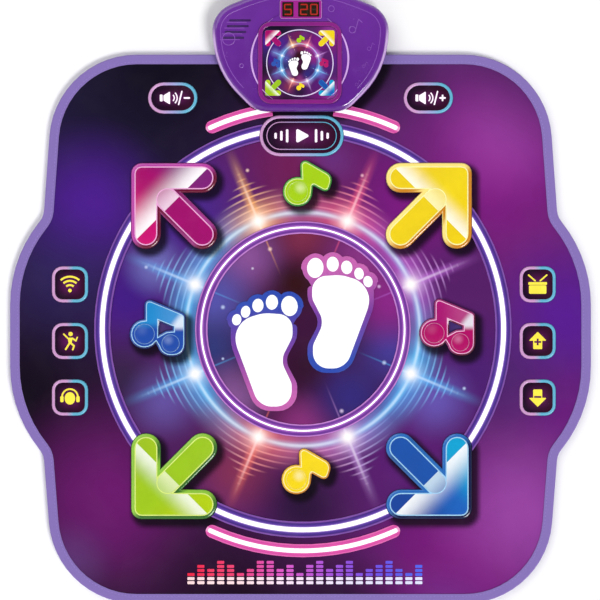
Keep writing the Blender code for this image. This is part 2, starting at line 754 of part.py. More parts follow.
def build_lights():
    """The rings and arcs, each ended where it meets a pad or the console."""
    around = {pad.name: hull(placed(grown(pad.outline, STRIP_CLEARANCE), pad.centre)) for pad in PADS}
    up_left, up_right = around["arrow_pad_up_left"], around["arrow_pad_up_right"]
    down_left, down_right = around["arrow_pad_down_left"], around["arrow_pad_down_right"]
    start, console = around["start_button"], grown(console_outline(), STRIP_CLEARANCE)
    a = ARROW_ANGLE
    for name, first, last, ends in (
        ("top_left", 90, 180 - a, (start, up_left)),
        ("top_right", a, 90, (up_right, start)),
        ("left", 180 - a, 180 + a, (up_left, down_left)),
        ("bottom", 180 + a, 360 - a, (down_left, down_right)),
        ("right", -a, a, (down_right, up_right)),
    ):
        outline = sector(OUTER_RING_RADIUS, OUTER_RING_WIDTH, first, last)
        strip("outer_light_" + name, outline, WHITE, ends)
    centre = (RING_CENTRE_X, 0.0)
    rim = arc(centre, INNER_RING_RADIUS + INNER_RING_WIDTH / 2, 0, 360)[:-1]
    bore = arc(centre, INNER_RING_RADIUS - INNER_RING_WIDTH / 2, 0, 360)[:-1]
    low = COVER_TOP + GAP
    finish(plate("inner_light_ring", [rim, bore], low, low + STRIP_THICKNESS), WHITE, 0.3)
    near, far, half = 90 - ACCENT_SPLIT_ANGLE, 90 - ACCENT_HALF_ANGLE, ACCENT_HALF_ANGLE
    for name, first, last, round_start, round_end, ends in (
        ("top_left", 180 - near, 180 - far, False, True, (start, console)),
        ("top_right", far, near, True, False, (start, console)),
        ("bottom", 270 - half, 270 + half, True, True, ()),
    ):
        outline = sector(ACCENT_RADIUS, ACCENT_WIDTH, first, last, round_start, round_end)
        strip("accent_light_" + name, outline, PINK, ends)


# Footprints.
def crossing(a, b):
    """The upper of the two points where two circles meet."""
    (ax, ay, ar), (bx, by, br) = a, b
    span = math.hypot(bx - ax, by - ay)
    along = (span * span + ar * ar - br * br) / (2 * span)
    across = math.sqrt(max(ar * ar - along * along, 0))
    ux, uy = (bx - ax) / span, (by - ay) / span
    return (ax + ux * along + uy * across, ay + uy * along - ux * across)


def foot_outline():
    """Five toe circles in a row, joined to the sole."""
    points = []
    joints = [crossing(b, a) for a, b in zip(TOES[1:], TOES)]
    starts = [(TOES[-1][0] - TOES[-1][2], TOES[-1][1])] + joints[::-1]
    ends = joints[::-1] + [(TOES[0][0] + TOES[0][2], TOES[0][1])]
    for (x, y, radius), start, end in zip(TOES[::-1], starts, ends):
        first = math.degrees(math.atan2(start[1] - y, start[0] - x))
        last = math.degrees(math.atan2(end[1] - y, end[0] - x))
        points += arc((x, y), radius, first, last)[:-1]
    points.append(ends[-1])
    sole = rounded(SOLE_CORNERS)
    return (points + sole[::-1])[::-1]


def build_footprints():
    low = COVER_TOP + GAP
    right = foot_outline()
    left = placed(right, mirrored=True)
    fitted = (INNER_RING_RADIUS - INNER_RING_WIDTH / 2 - FOOT_CLEARANCE) / FOOT_REACH
    for name, outline, y in (("footprint_left", left, FOOT_LEFT_Y), ("footprint_right", right, FOOT_RIGHT_Y)):
        shape = [(FOOT_MIRROR_X + x * fitted, (up + y) * fitted) for x, up in outline]
        finish(plate(name, [shape], low, low + FOOT_THICKNESS), WHITE, 0.35)


# Console.
def console_outline(inset=0.0):
    right = [CONSOLE_LOWER, CONSOLE_MIDDLE, CONSOLE_UPPER]
    left = [(-x, y, r) for x, y, r in reversed(right)]
    corners = right + [(0.0, CONSOLE_APEX_Y, CONSOLE_APEX_RADIUS)] + left
    return grown(rounded(corners), -inset)


def console_back_y(x=0.0):
    """The rear wall's outer face, at a distance from the middle."""
    lean = math.atan2(CONSOLE_APEX_Y - CONSOLE_UPPER[1], CONSOLE_UPPER[0])
    centre = CONSOLE_APEX_Y - CONSOLE_APEX_RADIUS / math.cos(lean)
    return centre + math.sqrt(CONSOLE_APEX_RADIUS**2 - x**2)


def case_screw_places():
    return [(side * x, y) for x, y in CASE_SCREWS for side in (-1, 1)]


def board_post_places():
    x = BOARD_WIDTH / 2 - POST_INSET
    y = BOARD_LENGTH / 2 - POST_INSET
    return [(sx * x, BOARD_CENTRE_Y + sy * y) for sx in (-1, 1) for sy in (-1, 1)]


def picture_outline(margin):
    width, height = PICTURE_WIDTH + 2 * margin, PICTURE_HEIGHT + 2 * margin
    return box_outline(width, height, PICTURE_RADIUS + margin, (PICTURE_X, PICTURE_Y))


def display_outline(margin):
    width, height = DISPLAY_WIDTH + 2 * margin, DISPLAY_HEIGHT + 2 * margin
    return box_outline(width, height, DISPLAY_RADIUS + margin, (DISPLAY_X, DISPLAY_Y))


def slot_outline(i):
    middle = (SLOT_COUNT - 1) / 2
    centre = (SPEAKER_X + (i - middle) * SLOT_STEP, SPEAKER_Y - (i - middle) * SLOT_PITCH)
    return box_outline(SLOT_LENGTH, SLOT_WIDTH, SLOT_WIDTH / 2, centre)


def build_front_cover():
    outline = console_outline()
    cover = raised_plate("console_front_cover", [outline], CONSOLE_SPLIT, CONSOLE_TOP, CONSOLE_EDGE, 2)
    inner = console_outline(CONSOLE_WALL + CONSOLE_EDGE / 3)
    cut(cover, cutter_plate("front_hollow", inner, 0, ROOF_BOTTOM))
    low = ROOF_BOTTOM + OVERLAP
    join(cover, cylinder("front_boss", BOSS_RADIUS, low, BOSS_TOP, (0, BOSS_CENTRE_Y), BOSS_SIDES))
    for i, centre in enumerate(case_screw_places()):
        join(cover, cylinder(f"front_post_{i}", POST_RADIUS, CONSOLE_SPLIT + GAP, low, centre))
        radius = SCREW_RADIUS + SCREW_CLEARANCE
        cut(cover, cylinder(f"front_bore_{i}", radius, 0, CASE_SCREW_END + GAP, centre, BORE_SIDES))
    above = 2 * CONSOLE_TOP
    picture = picture_outline(PICTURE_FRAME + SEAT_CLEARANCE)
    cut(cover, cutter_plate("picture_pocket", picture, BOSS_TOP - PICTURE_DEPTH, above))
    display = display_outline(SEAT_CLEARANCE)
    cut(cover, cutter_plate("display_pocket", display, CONSOLE_TOP - DISPLAY_DEPTH, above))
    cut(cover, cutter_plate("display_opening", display_outline(-DISPLAY_LEDGE), 0, CONSOLE_TOP))
    for i in range(SLOT_COUNT):
        cut(cover, cutter_plate(f"speaker_slot_{i}", slot_outline(i), 0, above))
    finish(cover, PURPLE, 0.22)


def build_back_cover():
    cover = solid_plate("console_back_cover", [console_outline()], 0, 2 * CONSOLE_SPLIT, edge=FLOOR_EDGE)
    above = block("back_above", (-FAR, 0, CONSOLE_SPLIT - GAP), (FAR, FAR, FAR))
    step = block("back_step", (-FAR, 0, -FAR), (FAR, CONSOLE_STEP_Y, STEP_BOTTOM))
    hollow = cutter_plate("back_hollow", console_outline(CONSOLE_WALL), CONSOLE_FLOOR, FAR)
    cut(hollow, block("back_shelf", (-FAR, 0, -FAR), (FAR, CONSOLE_STEP_Y + CONSOLE_WALL, STEP_TOP)))
    cut(cover, above, step, hollow)
    x, y = BAY_HALF_X + BAY_WALL, BAY_HALF_Y + BAY_WALL
    join(cover, block("bay_box", (-x, BAY_Y - y, CONSOLE_FLOOR / 2), (x, BAY_Y + y, BAY_TOP + BAY_WALL)))
    join_posts(cover)
    low, high = BAY_Y - BAY_HALF_Y, BAY_Y + BAY_HALF_Y
    cut(cover, block("bay_room", (-BAY_HALF_X, low, -FAR), (BAY_HALF_X, high, BAY_TOP)))
    low, high = STEP_BOTTOM - CONSOLE_FLOOR, STEP_TOP + CONSOLE_FLOOR
    cut(cover, cutter_plate("tail_opening", tail_slot(), low, high))
    x = (SWITCH_NUB + SWITCH_TRAVEL) / 2 + SWITCH_SLOT_CLEARANCE
    z = SWITCH_NUB / 2 + SWITCH_SLOT_CLEARANCE
    low, high = console_back_y() - 2 * CONSOLE_WALL, console_back_y() + CONSOLE_WALL
    cut(cover, block("switch_slot", (-x, low, SWITCH_HEIGHT - z), (x, high, SWITCH_HEIGHT + z)))
    finish(cover, DARK_VIOLET, 0.35)


def floor_inside(y):
    """A height inside the console's floor, for the foot of a post that stands on it."""
    return (CONSOLE_FLOOR if y > CONSOLE_STEP_Y else STEP_BOTTOM + STEP_TOP) / 2


def join_posts(cover):
    bore, sink = SCREW_RADIUS + SCREW_CLEARANCE, SCREW_HEAD_RADIUS + SCREW_CLEARANCE
    for i, centre in enumerate(case_screw_places()):
        low, high = floor_inside(centre[1]), CONSOLE_SPLIT - GAP
        join(cover, cylinder(f"case_post_{i}", SCREW_BOSS_RADIUS, low, high, centre))
        cut(cover, cylinder(f"case_bore_{i}", bore, SCREW_SEAT - OVERLAP, CONSOLE_TOP, centre, BORE_SIDES))
        cut(cover, cylinder(f"case_sink_{i}", sink, -CONSOLE_FLOOR, SCREW_SEAT, centre))
    for i, centre in enumerate(clamp_screw_places()):
        high = CLAMP_SCREW_END + OVERLAP
        join(cover, cylinder(f"clamp_post_{i}", SCREW_BOSS_RADIUS, COVER_TOP + GAP, high, centre))
        cut(cover, cylinder(f"clamp_hole_{i}", bore, 0, high + OVERLAP, centre, BORE_SIDES))
    for i, centre in enumerate(board_post_places()):
        low, high = floor_inside(centre[1]), BOARD_HEIGHT - GAP
        join(cover, cylinder(f"board_post_{i}", POST_RADIUS, low, high, centre, BORE_SIDES))


def build_console_fittings():
    floor = BOSS_TOP - PICTURE_DEPTH + GAP
    outlines = [picture_outline(PICTURE_FRAME), picture_outline(0)]
    frame = raised_plate("picture_frame", outlines, floor, BOSS_TOP + PICTURE_FRAME_RISE, PICTURE_FRAME_EDGE)
    finish(frame, FRAME_MAGENTA, 0.25)
    panel = plate("picture_panel", [picture_outline(-SEAT_CLEARANCE)], floor, floor + PICTURE_PANEL_THICKNESS)
    finish(panel, BLACK, 0.15)
    floor = CONSOLE_TOP - DISPLAY_DEPTH + GAP
    lens = plate("display_lens", [display_outline(-SEAT_CLEARANCE)], floor, floor + DISPLAY_LENS_THICKNESS)
    finish(lens, LENS_RED, 0.08)
    low = floor + DISPLAY_LENS_THICKNESS + GAP
    windows = []
    for x, width in DIGIT_WINDOWS:
        windows.append(box_outline(width, DIGIT_HEIGHT, DIGIT_RADIUS, (DISPLAY_X + x, DISPLAY_Y)))
    bezel = plate("display_bezel", [display_outline(0), *windows], low, CONSOLE_TOP + DISPLAY_FRAME_RISE)
    finish(bezel, FRAME_MAGENTA, 0.25)
    outline = display_outline(-DISPLAY_LEDGE - MODULE_MARGIN)
    module = plate("display_module", [outline], BOARD_TOP + GAP, CONSOLE_TOP - DISPLAY_DEPTH)
    finish(module, BLACK, 0.4)
    outline = box_outline(BOARD_WIDTH, BOARD_LENGTH, BOARD_RADIUS, (0, BOARD_CENTRE_Y))
    board = solid_plate("main_board", [outline], BOARD_HEIGHT, BOARD_TOP)
    for i, (x, size) in enumerate(CHIPS):
        low = (x - size / 2, CHIP_Y - size / 2, BOARD_TOP - BOARD_THICKNESS / 2)
        high = (x + size / 2, CHIP_Y + size / 2, BOARD_TOP + CHIP_HEIGHT)
        join(board, block(f"chip_{i}", low, high))
    finish(board, BOARD_GREEN, 0.5)
    build_tail()


def build_tail():
    """The film's tail: along the film, up through the cover and the console's floor, and onto the board."""
    low, high, t = FILM_TOP + GAP, BOARD_TOP + GAP, TAIL_THICKNESS
    profile = [
        (TAIL_START_Y, low),
        (TAIL_RISE_Y + t, low),
        (TAIL_RISE_Y + t, high),
        (TAIL_END_Y, high),
        (TAIL_END_Y, high + t),
        (TAIL_RISE_Y, high + t),
        (TAIL_RISE_Y, low + t),
        (TAIL_START_Y, low + t),
    ]
    tail = plate("circuit_tail", [profile], -TAIL_WIDTH / 2, TAIL_WIDTH / 2)
    tail.rotation_euler = Euler((math.pi / 2, 0, math.pi / 2))
    finish(tail, FILM, 0.35)


def build_speaker():
    rim = (SPEAKER_X, SPEAKER_Y, ROOF_BOTTOM - GAP)
    finish(turned("speaker_frame", SPEAKER_BASKET, rim), STEEL, 0.4, 1.0)
    finish(turned("speaker_cone", SPEAKER_CONE, rim), BLACK, 0.8)
    finish(turned("speaker_magnet", SPEAKER_MAGNET, rim), STEEL, 0.5, 1.0)


def build_power():
    middle = (CELL_COUNT - 1) / 2
    rows = [BAY_Y + (i - middle) * CELL_PITCH for i in range(CELL_COUNT)]
    for i, y in enumerate(rows):
        end = CELL_LENGTH / 2
        shoulder = end - CELL_NUB
        profile = [
            (0, end),
            (CELL_NUB_RADIUS, end),
            (CELL_NUB_RADIUS, shoulder),
            (CELL_RADIUS, shoulder),
            (CELL_RADIUS, -end),
            (0, -end),
        ]
        cell = turned(f"battery_{i + 1}", profile, (0, y, CELL_Z))
        cell.rotation_euler = Euler((0, math.pi / 2 * (-1) ** i, 0))
        finish(cell, CELL_GREEN, 0.3, 0.6)
    build_contact("battery_contact_left", -1, rows)
    build_contact("battery_contact_right", 1, rows)
    width, length = 2 * (BAY_HALF_X - DOOR_CLEARANCE), 2 * (BAY_HALF_Y - DOOR_CLEARANCE)
    pivot_y = BAY_Y + BAY_HALF_Y - DOOR_CLEARANCE - DOOR_PIVOT_INSET
    outline = box_outline(width, length, DOOR_RADIUS, (0, BAY_Y - pivot_y))
    door = plate("battery_door", [outline], DOOR_RECESS, DOOR_TOP, centre=(0, pivot_y))
    finish(door, DARK_VIOLET, 0.35)


def build_contact(name, side, rows):
    """A metal strip on one end wall of the bay, with a coned spring for each cell."""
    outer = side * (BAY_HALF_X - GAP)
    inner = outer - side * CONTACT_PLATE
    low = (min(outer, inner), BAY_Y - BAY_HALF_Y + CONTACT_MARGIN, CELL_Z - CELL_RADIUS / 2)
    high = (max(outer, inner), BAY_Y + BAY_HALF_Y - CONTACT_MARGIN, CELL_Z + CELL_RADIUS / 2)
    contact = block(name, low, high)
    reach = CONTACT_DEPTH - 2 * GAP - CONTACT_PLATE / 2
    profile = [(0, reach), (CONTACT_TIP_RADIUS, reach), (CONTACT_BASE_RADIUS, 0), (0, 0)]
    for i, y in enumerate(rows):
        spring = turned(f"{name}_spring_{i}", profile, ((outer + inner) / 2, y, CELL_Z), BORE_SIDES)
        spring.rotation_euler = Euler((0, -side * math.pi / 2, 0))
        join(contact, spring)
    finish(contact, STEEL, 0.25, 1.0)


def build_switch():
    """The slider stands at the off end of its slot; its nub passes through the rear wall."""
    rear = console_back_y()
    x = -SWITCH_TRAVEL / 2
    half = SWITCH_NUB / 2
    wide = half + SWITCH_TRAVEL + SWITCH_MARGIN
    inside = console_back_y(abs(x) + wide) - CONSOLE_WALL - ARC_TOLERANCE - GAP
    tall = half + SWITCH_SLOT_CLEARANCE + SWITCH_MARGIN
    low, high = SWITCH_HEIGHT - tall, SWITCH_HEIGHT + tall
    slider = block("power_switch", (x - wide, inside - SWITCH_PLATE, low), (x + wide, inside, high))
    near, far = inside - SWITCH_PLATE / 2, rear + SWITCH_NUB_OUT
    nub = block("switch_nub", (x - half, near, SWITCH_HEIGHT - half), (x + half, far, SWITCH_HEIGHT + half))
    finish(join(slider, nub), BLACK, 0.5)


def screw(name, centre, seat, end):
    """A pan-head screw driven upwards, its head under a seat."""
    head = seat - GAP
    low = head - SCREW_HEAD_HEIGHT
    profile = [
        (0, end),
        (SCREW_RADIUS, end - SCREW_RADIUS),
        (SCREW_RADIUS, head),
        (SCREW_HEAD_RADIUS, head),
        (SCREW_HEAD_RADIUS, low + SCREW_HEAD_BEVEL),
        (SCREW_HEAD_RADIUS - SCREW_HEAD_BEVEL, low),
        (0, low),
    ]
    finish(turned(name, profile, (*centre, 0), SCREW_SIDES), STEEL, 0.3, 1.0)


def build_screws():
    for i, centre in enumerate(case_screw_places()):
        screw(f"case_screw_{i + 1}", centre, SCREW_SEAT, CASE_SCREW_END)
    for name, centre in zip(("clamp_screw_left", "clamp_screw_right"), clamp_screw_places()):
        screw(name, centre, CLAMP_SEAT, CLAMP_SCREW_END)


build_mat()
build_pads()
build_lights()
build_footprints()
build_front_cover()
build_back_cover()
build_console_fittings()
build_speaker()
build_power()
build_switch()
build_screws()
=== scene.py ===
"""Looks for the electronic dance mat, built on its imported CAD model: metres, +Z up, camera straight above.

Most pieces start from a copy of their CAD node. It is cut off at a height, closed again, and stepped inwards
and upwards in bands, each with its own material. Patterns read object coordinates from a centre on the piece.
"""

import json
import math

import bmesh
import bpy
from mathutils import Matrix, Vector
from mathutils.bvhtree import BVHTree

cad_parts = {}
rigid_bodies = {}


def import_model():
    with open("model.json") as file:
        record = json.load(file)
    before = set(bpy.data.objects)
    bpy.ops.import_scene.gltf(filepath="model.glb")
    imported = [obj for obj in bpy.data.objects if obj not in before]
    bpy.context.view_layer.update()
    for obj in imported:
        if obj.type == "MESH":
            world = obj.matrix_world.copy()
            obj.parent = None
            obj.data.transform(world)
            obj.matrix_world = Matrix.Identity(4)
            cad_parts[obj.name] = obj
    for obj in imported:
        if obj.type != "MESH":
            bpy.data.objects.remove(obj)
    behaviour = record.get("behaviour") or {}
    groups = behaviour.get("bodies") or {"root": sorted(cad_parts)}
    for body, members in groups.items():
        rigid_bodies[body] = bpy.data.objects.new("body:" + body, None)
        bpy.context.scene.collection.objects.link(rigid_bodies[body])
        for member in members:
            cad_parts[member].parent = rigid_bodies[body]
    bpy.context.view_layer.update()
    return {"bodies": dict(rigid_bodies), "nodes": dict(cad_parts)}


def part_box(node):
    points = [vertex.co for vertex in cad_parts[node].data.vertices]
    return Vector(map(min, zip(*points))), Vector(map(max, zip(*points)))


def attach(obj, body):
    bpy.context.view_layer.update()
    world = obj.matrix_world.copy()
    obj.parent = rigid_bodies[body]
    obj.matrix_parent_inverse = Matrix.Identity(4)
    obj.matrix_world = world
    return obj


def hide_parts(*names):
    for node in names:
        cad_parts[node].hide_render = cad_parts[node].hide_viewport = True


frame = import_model()
nodes = frame["nodes"]

RING_CENTRE = (0.0037, 0.0, 0.0)
OUTER_RING, INNER_RING, ACCENT = 0.3110, 0.1576, 0.3435
# The print's bright ring, from the rings' centre.
HALO = 0.181
# Heights above the floor at which the CAD nodes' outlines are read.
BASE_SECTION, FILM_SECTION, COVER_SECTION = 0.0005, 0.0058, 0.0095
TAPE_SECTION, PAD_SECTION = 0.0106, 0.0108
CONSOLE_SECTION, LIP_SECTION, BEZEL_SECTION = 0.024, 0.0338, 0.0355
# Pads and buttons are cut off at PAD_CUT and built up again from there.
PAD_CUT = 0.0103
# Heights at which details start, on the cover, the tape, the light strips and so on.
COVER_TOP, TAPE_TOP, STRIP_TOP, PAD_FACE = 0.0099, 0.0110, 0.0112, 0.0131
FOOT_BOTTOM, FOOT_TOP, SYMBOL_LEVEL, MARK_LEVEL = 0.0102, 0.0107, 0.01125, 0.01164
CLOTH_LEVEL, LENS_TOP, SHELL_TOP, CRESCENT_LEVEL = 0.0332, 0.0344, 0.0349, 0.0360
# How far a pad's printed shadow is moved, and how far it reaches.
SHADOW_SHIFT, SHADOW_REACH = (0.0060, -0.0070), 0.0105
# Half the size of a stitch, and the way from one to the next.
STITCH, STITCH_PITCH = (0.0017, 0.0004, 0.00032), 0.0055
# An arrow's round shaft end, from its corner, and its radius, in millimetres.
HUB_AWAY, HUB_RADIUS = 79.5, 16.5
SYMBOL_SIZES = {"start_button": 1.12, "volume_down_button": 1.25, "volume_up_button": 1.25}
PICTURE_CENTRE, PICTURE_SIZE = (-0.0010, 0.4105, 0.0), 0.1645
# The picture's arrows: their size beside the real ones, and where their corners lie.
SMALL_ARROW, SMALL_ARROW_REACH = 0.187, (0.0536, 0.0505)
ARROWS = {
    "arrow_pad_up_left": ((-0.26231, 0.25714), -45),
    "arrow_pad_up_right": ((0.26514, 0.25740), -135),
    "arrow_pad_down_right": ((0.26531, -0.29418), 135),
    "arrow_pad_down_left": ((-0.26220, -0.29431), 45),
}
NOTE_CENTRES = {
    "note_pad_top": (0.0116, 0.2250), "note_pad_bottom": (0.0095, -0.2210),
    "note_pad_left": (-0.2213, 0.0014), "note_pad_right": (0.2275, 0.0030),
}
# Each footprint: the place that its toes and sole are measured from, and whether they are mirrored.
FEET = {"footprint_left": ((0.0028, -0.0340), True), "footprint_right": ((0.0028, 0.0251), False)}
# A foot's toes (out from the middle, up, half width, half height, turn) in millimetres and degrees.
TOES = [
    (101.7, 48.6, 7.2, 8.8, 12), (87.9, 60.8, 7.3, 9.3, 10), (68.8, 70.6, 8.7, 10.5, 6),
    (47.1, 75.6, 9.4, 11.6, 2), (20.0, 69.8, 12.8, 15.6, -6),
]
# A sole's corners (out from the middle, up, radius) in millimetres.
SOLE = [
    (15.2, 56, 22), (15.2, 22, 22), (33.5, -14, 26), (16.5, -50, 17), (16.5, -86, 24), (67, -86, 27),
    (103.5, 12, 45), (103.5, 46, 34), (60, 59, 50),
]
# Soft glows of the print, each (red, green, blue, x, y, reach, strength): outside the outer ring, between the
# rings, and inside the inner ring.
GROUND_GLOWS = (
    (8, 2, 18, -0.20, 0.42, 0.30, 0.95), (78, 26, 146, -0.33, 0.19, 0.15, 0.85),
    (44, 34, 92, -0.38, 0.06, 0.16, 0.7), (10, 2, 18, -0.43, -0.10, 0.22, 0.95),
    (108, 20, 108, -0.30, -0.26, 0.20, 0.85), (18, 2, 20, -0.10, -0.44, 0.22, 0.95),
    (26, 4, 26, -0.36, -0.47, 0.15, 0.8), (96, 62, 126, -0.36, -0.36, 0.08, 0.5),
    (126, 14, 126, 0.30, 0.24, 0.26, 0.8), (150, 58, 156, 0.31, 0.30, 0.13, 0.8),
    (60, 26, 80, 0.40, 0.44, 0.22, 0.8), (34, 14, 48, 0.13, 0.41, 0.12, 0.7),
    (84, 22, 142, 0.41, 0.02, 0.16, 0.9), (102, 20, 122, 0.40, -0.13, 0.10, 0.7),
    (66, 32, 104, 0.31, -0.08, 0.12, 0.6), (124, 12, 122, 0.25, -0.35, 0.20, 0.7),
    (148, 66, 158, 0.34, -0.28, 0.17, 0.9), (112, 50, 134, 0.22, -0.44, 0.10, 0.6),
    (30, 10, 38, 0.05, -0.44, 0.15, 0.9),
)
BETWEEN_GLOWS = (
    (112, 26, 76, 0.0, 0.25, 0.16, 0.8), (124, 18, 126, 0.17, 0.20, 0.14, 0.8),
    (66, 36, 136, -0.19, 0.18, 0.15, 0.9), (60, 22, 128, -0.27, 0.05, 0.13, 0.9),
    (44, 28, 62, -0.28, -0.08, 0.11, 0.9), (70, 26, 110, 0.27, -0.07, 0.12, 0.8),
    (72, 26, 84, -0.20, -0.17, 0.12, 0.8), (130, 46, 76, -0.10, -0.22, 0.10, 0.85),
    (36, 12, 50, 0.0, -0.275, 0.12, 0.95), (84, 22, 108, 0.17, -0.20, 0.13, 0.9),
    (98, 60, 156, 0.042, 0.262, 0.060, 0.35), (106, 98, 196, 0.205, -0.110, 0.075, 0.6),
    (106, 94, 180, -0.215, -0.110, 0.075, 0.6), (130, 140, 214, -0.230, 0.098, 0.060, 0.5),
)
MIDDLE_GLOWS = (
    (128, 44, 74, 0.0, 0.150, 0.075, 0.85), (142, 84, 156, -0.088, 0.112, 0.080, 0.8),
    (84, 84, 172, -0.142, 0.045, 0.092, 0.9), (40, 54, 118, -0.142, -0.035, 0.080, 0.85),
    (142, 92, 158, -0.110, -0.108, 0.078, 0.75), (142, 50, 126, 0.0, -0.152, 0.072, 0.8),
    (48, 40, 120, 0.075, -0.104, 0.092, 0.9), (64, 58, 150, 0.140, -0.030, 0.080, 0.85),
    (142, 38, 138, 0.136, 0.045, 0.090, 0.85), (140, 52, 134, 0.088, 0.112, 0.085, 0.8),
    (48, 12, 14, -0.01, 0.070, 0.055, 0.95), (46, 10, 40, 0.0, -0.06, 0.06, 0.9),
)
# The halo's colours round the ring, each (share of the turn, red, green, blue).
HALO_TONES = (
    (0.0, 60, 170, 236), (0.10, 90, 170, 236), (0.19, 240, 112, 96), (0.28, 206, 120, 190),
    (0.38, 80, 150, 232), (0.46, 70, 176, 240), (0.54, 170, 96, 200), (0.62, 200, 100, 210),
    (0.69, 240, 90, 130), (0.76, 206, 110, 160), (0.81, 250, 170, 84), (0.88, 110, 160, 230),
    (1.0, 60, 170, 236),
)
# Small sparks, each (x, y, reach).
SPARKS = (
    (-0.051, 0.124, 0.0048), (0.048, 0.116, 0.0040), (-0.124, 0.034, 0.0048), (0.118, 0.066, 0.0040),
    (-0.124, -0.046, 0.0032), (0.060, -0.127, 0.0048), (0.126, -0.052, 0.0048), (-0.078, 0.094, 0.0032),
    (-0.086, 0.246, 0.0040), (0.092, 0.238, 0.0040), (-0.243, 0.096, 0.0040), (0.250, -0.092, 0.0040),
)


# Meshes.
def copy_of(node, whole=True):
    """A CAD node's mesh with its triangles merged, and its flat faces made whole or left as they are."""
    bm = bmesh.new()
    bm.from_mesh(nodes[node].data)
    bmesh.ops.remove_doubles(bm, verts=bm.verts, dist=2e-6)
    if whole:
        bmesh.ops.dissolve_limit(bm, angle_limit=math.radians(0.5), verts=bm.verts, edges=bm.edges)
    return bm


def everything(bm):
    return [*bm.verts, *bm.edges, *bm.faces]


def cut_at(bm, height, keep_below=True):
    """Cuts the mesh off at a height; the edges of the cut."""
    found = bmesh.ops.bisect_plane(
        bm, geom=everything(bm), dist=1e-7, plane_co=(0, 0, height), plane_no=(0, 0, 1),
        clear_outer=keep_below, clear_inner=not keep_below,
    )
    return [edge for edge in found["geom_cut"] if isinstance(edge, bmesh.types.BMEdge)]


def close(bm, edges, least=0.0002):
    """Flat faces that fill a cut, holes left open; points of the cut closer than least are merged first."""
    height = edges[0].verts[0].co.z
    bmesh.ops.remove_doubles(bm, verts=list({vert for edge in edges for vert in edge.verts}), dist=least)
    rim = [edge for edge in bm.edges if len(edge.link_faces) < 2]
    rim = [edge for edge in rim if all(abs(vert.co.z - height) < 1e-6 for vert in edge.verts)]
    found = bmesh.ops.triangle_fill(bm, edges=rim, use_beauty=True, normal=(0, 0, 1))
    return [face for face in found["geom"] if isinstance(face, bmesh.types.BMFace)]


def step(bm, faces, inwards, up, material=0):
    """Steps a region inwards and up, and gives the band round it a material."""
    found = bmesh.ops.inset_region(
        bm, faces=faces, thickness=inwards, depth=0.0, use_even_offset=True, use_boundary=True
    )
    inner = {vert for face in faces for vert in face.verts}
    for face in found["faces"]:
        face.material_index = material
        for edge in face.edges:
            ends = [vert for vert in edge.verts if vert in inner]
            if len(ends) == 1:
                start = edge.other_vert(ends[0]).co
                moved = ends[0].co - start
                if moved.length > 3 * inwards:
                    ends[0].co = start + moved.normalized() * 3 * inwards
    bmesh.ops.translate(bm, vec=(0, 0, up), verts=list(inner))


def steps(bm, faces, rows, top=0):
    """Several steps, each (inwards, up, material) in millimetres, and the material of what is left on top."""
    for inwards, up, material in rows:
        step(bm, faces, inwards / 1000, up / 1000, material)
    for face in faces:
        face.material_index = top


def turned_up(bm, faces):
    """Turns the flat faces that look down."""
    bmesh.ops.reverse_faces(bm, faces=[face for face in faces if face.normal.z < 0])


def bevelled(bm, geom, affect, width, segments):
    """Rounds edges or corners."""
    bmesh.ops.bevel(
        bm, geom=geom, affect=affect, offset=width, offset_type="OFFSET", segments=segments, profile=0.5,
        material=-1, clamp_overlap=True,
    )


def level(node, height, holes=True):
    """A new mesh of the flat section of a CAD node at a height, with or without its holes."""
    bm = copy_of(node)
    bmesh.ops.bisect_plane(
        bm, geom=everything(bm), dist=1e-7, plane_co=(0, 0, height), plane_no=(0, 0, 1),
        clear_outer=True, clear_inner=True,
    )
    if not holes:
        keep_longest_loop(bm)
    faces = close(bm, bm.edges[:])
    bmesh.ops.recalc_face_normals(bm, faces=faces)
    turned_up(bm, faces)
    return bm, faces


def loops_of(bm):
    """The groups of joined edges, each with its vertices, in the order in which they were drawn."""
    left, found = set(bm.verts), []
    for first in bm.verts:
        if first not in left:
            continue
        left.remove(first)
        group, reached = set(), [first]
        while reached:
            vert = reached.pop()
            group.add(vert)
            near = [edge.other_vert(vert) for edge in vert.link_edges]
            reached += [other for other in near if other in left]
            left.difference_update(near)
        found.append(group)
    return found


def keep_longest_loop(bm):
    """Deletes all but the widest group of joined edges."""
    def span(group):
        return max(v.co.x for v in group) - min(v.co.x for v in group)

    groups = sorted(loops_of(bm), key=span)
    bmesh.ops.delete(bm, geom=[vert for group in groups[:-1] for vert in group], context="VERTS")


def outermost(edges):
    """The edges of the loop with the longest way round."""
    left, groups = set(edges), []
    while left:
        group, reached = [], [left.pop()]
        while reached:
            edge = reached.pop()
            group.append(edge)
            near = [other for vert in edge.verts for other in vert.link_edges if other in left]
            left.difference_update(near)
            reached += near
        groups.append(group)
    return max(groups, key=lambda group: sum(edge.calc_length() for edge in group))


def rounded_face(bm, corners, height):
    """A flat face whose corners, each (x, y, radius), are rounded by a vertex bevel."""
    verts = [bm.verts.new((x, y, height)) for x, y, _ in corners]
    face = bm.faces.new(verts)
    face.normal_update()
    if face.normal.z < 0:
        face.normal_flip()
    for i, (vert, (_, _, radius)) in enumerate(zip(verts, corners)):
        if not radius:
            continue
        here = Vector(corners[i][:2])
        back = Vector(corners[i - 1][:2]) - here
        on = Vector(corners[(i + 1) % len(corners)][:2]) - here
        reach = radius * math.tan((math.pi - back.angle(on)) / 2)
        segments = max(2, min(8, round(radius / 0.0003)))
        bevelled(bm, [vert], "VERTICES", reach, segments)
    return [f for f in bm.faces if abs(f.calc_center_median().z - height) < 1e-7 and len(f.edges) > 3]


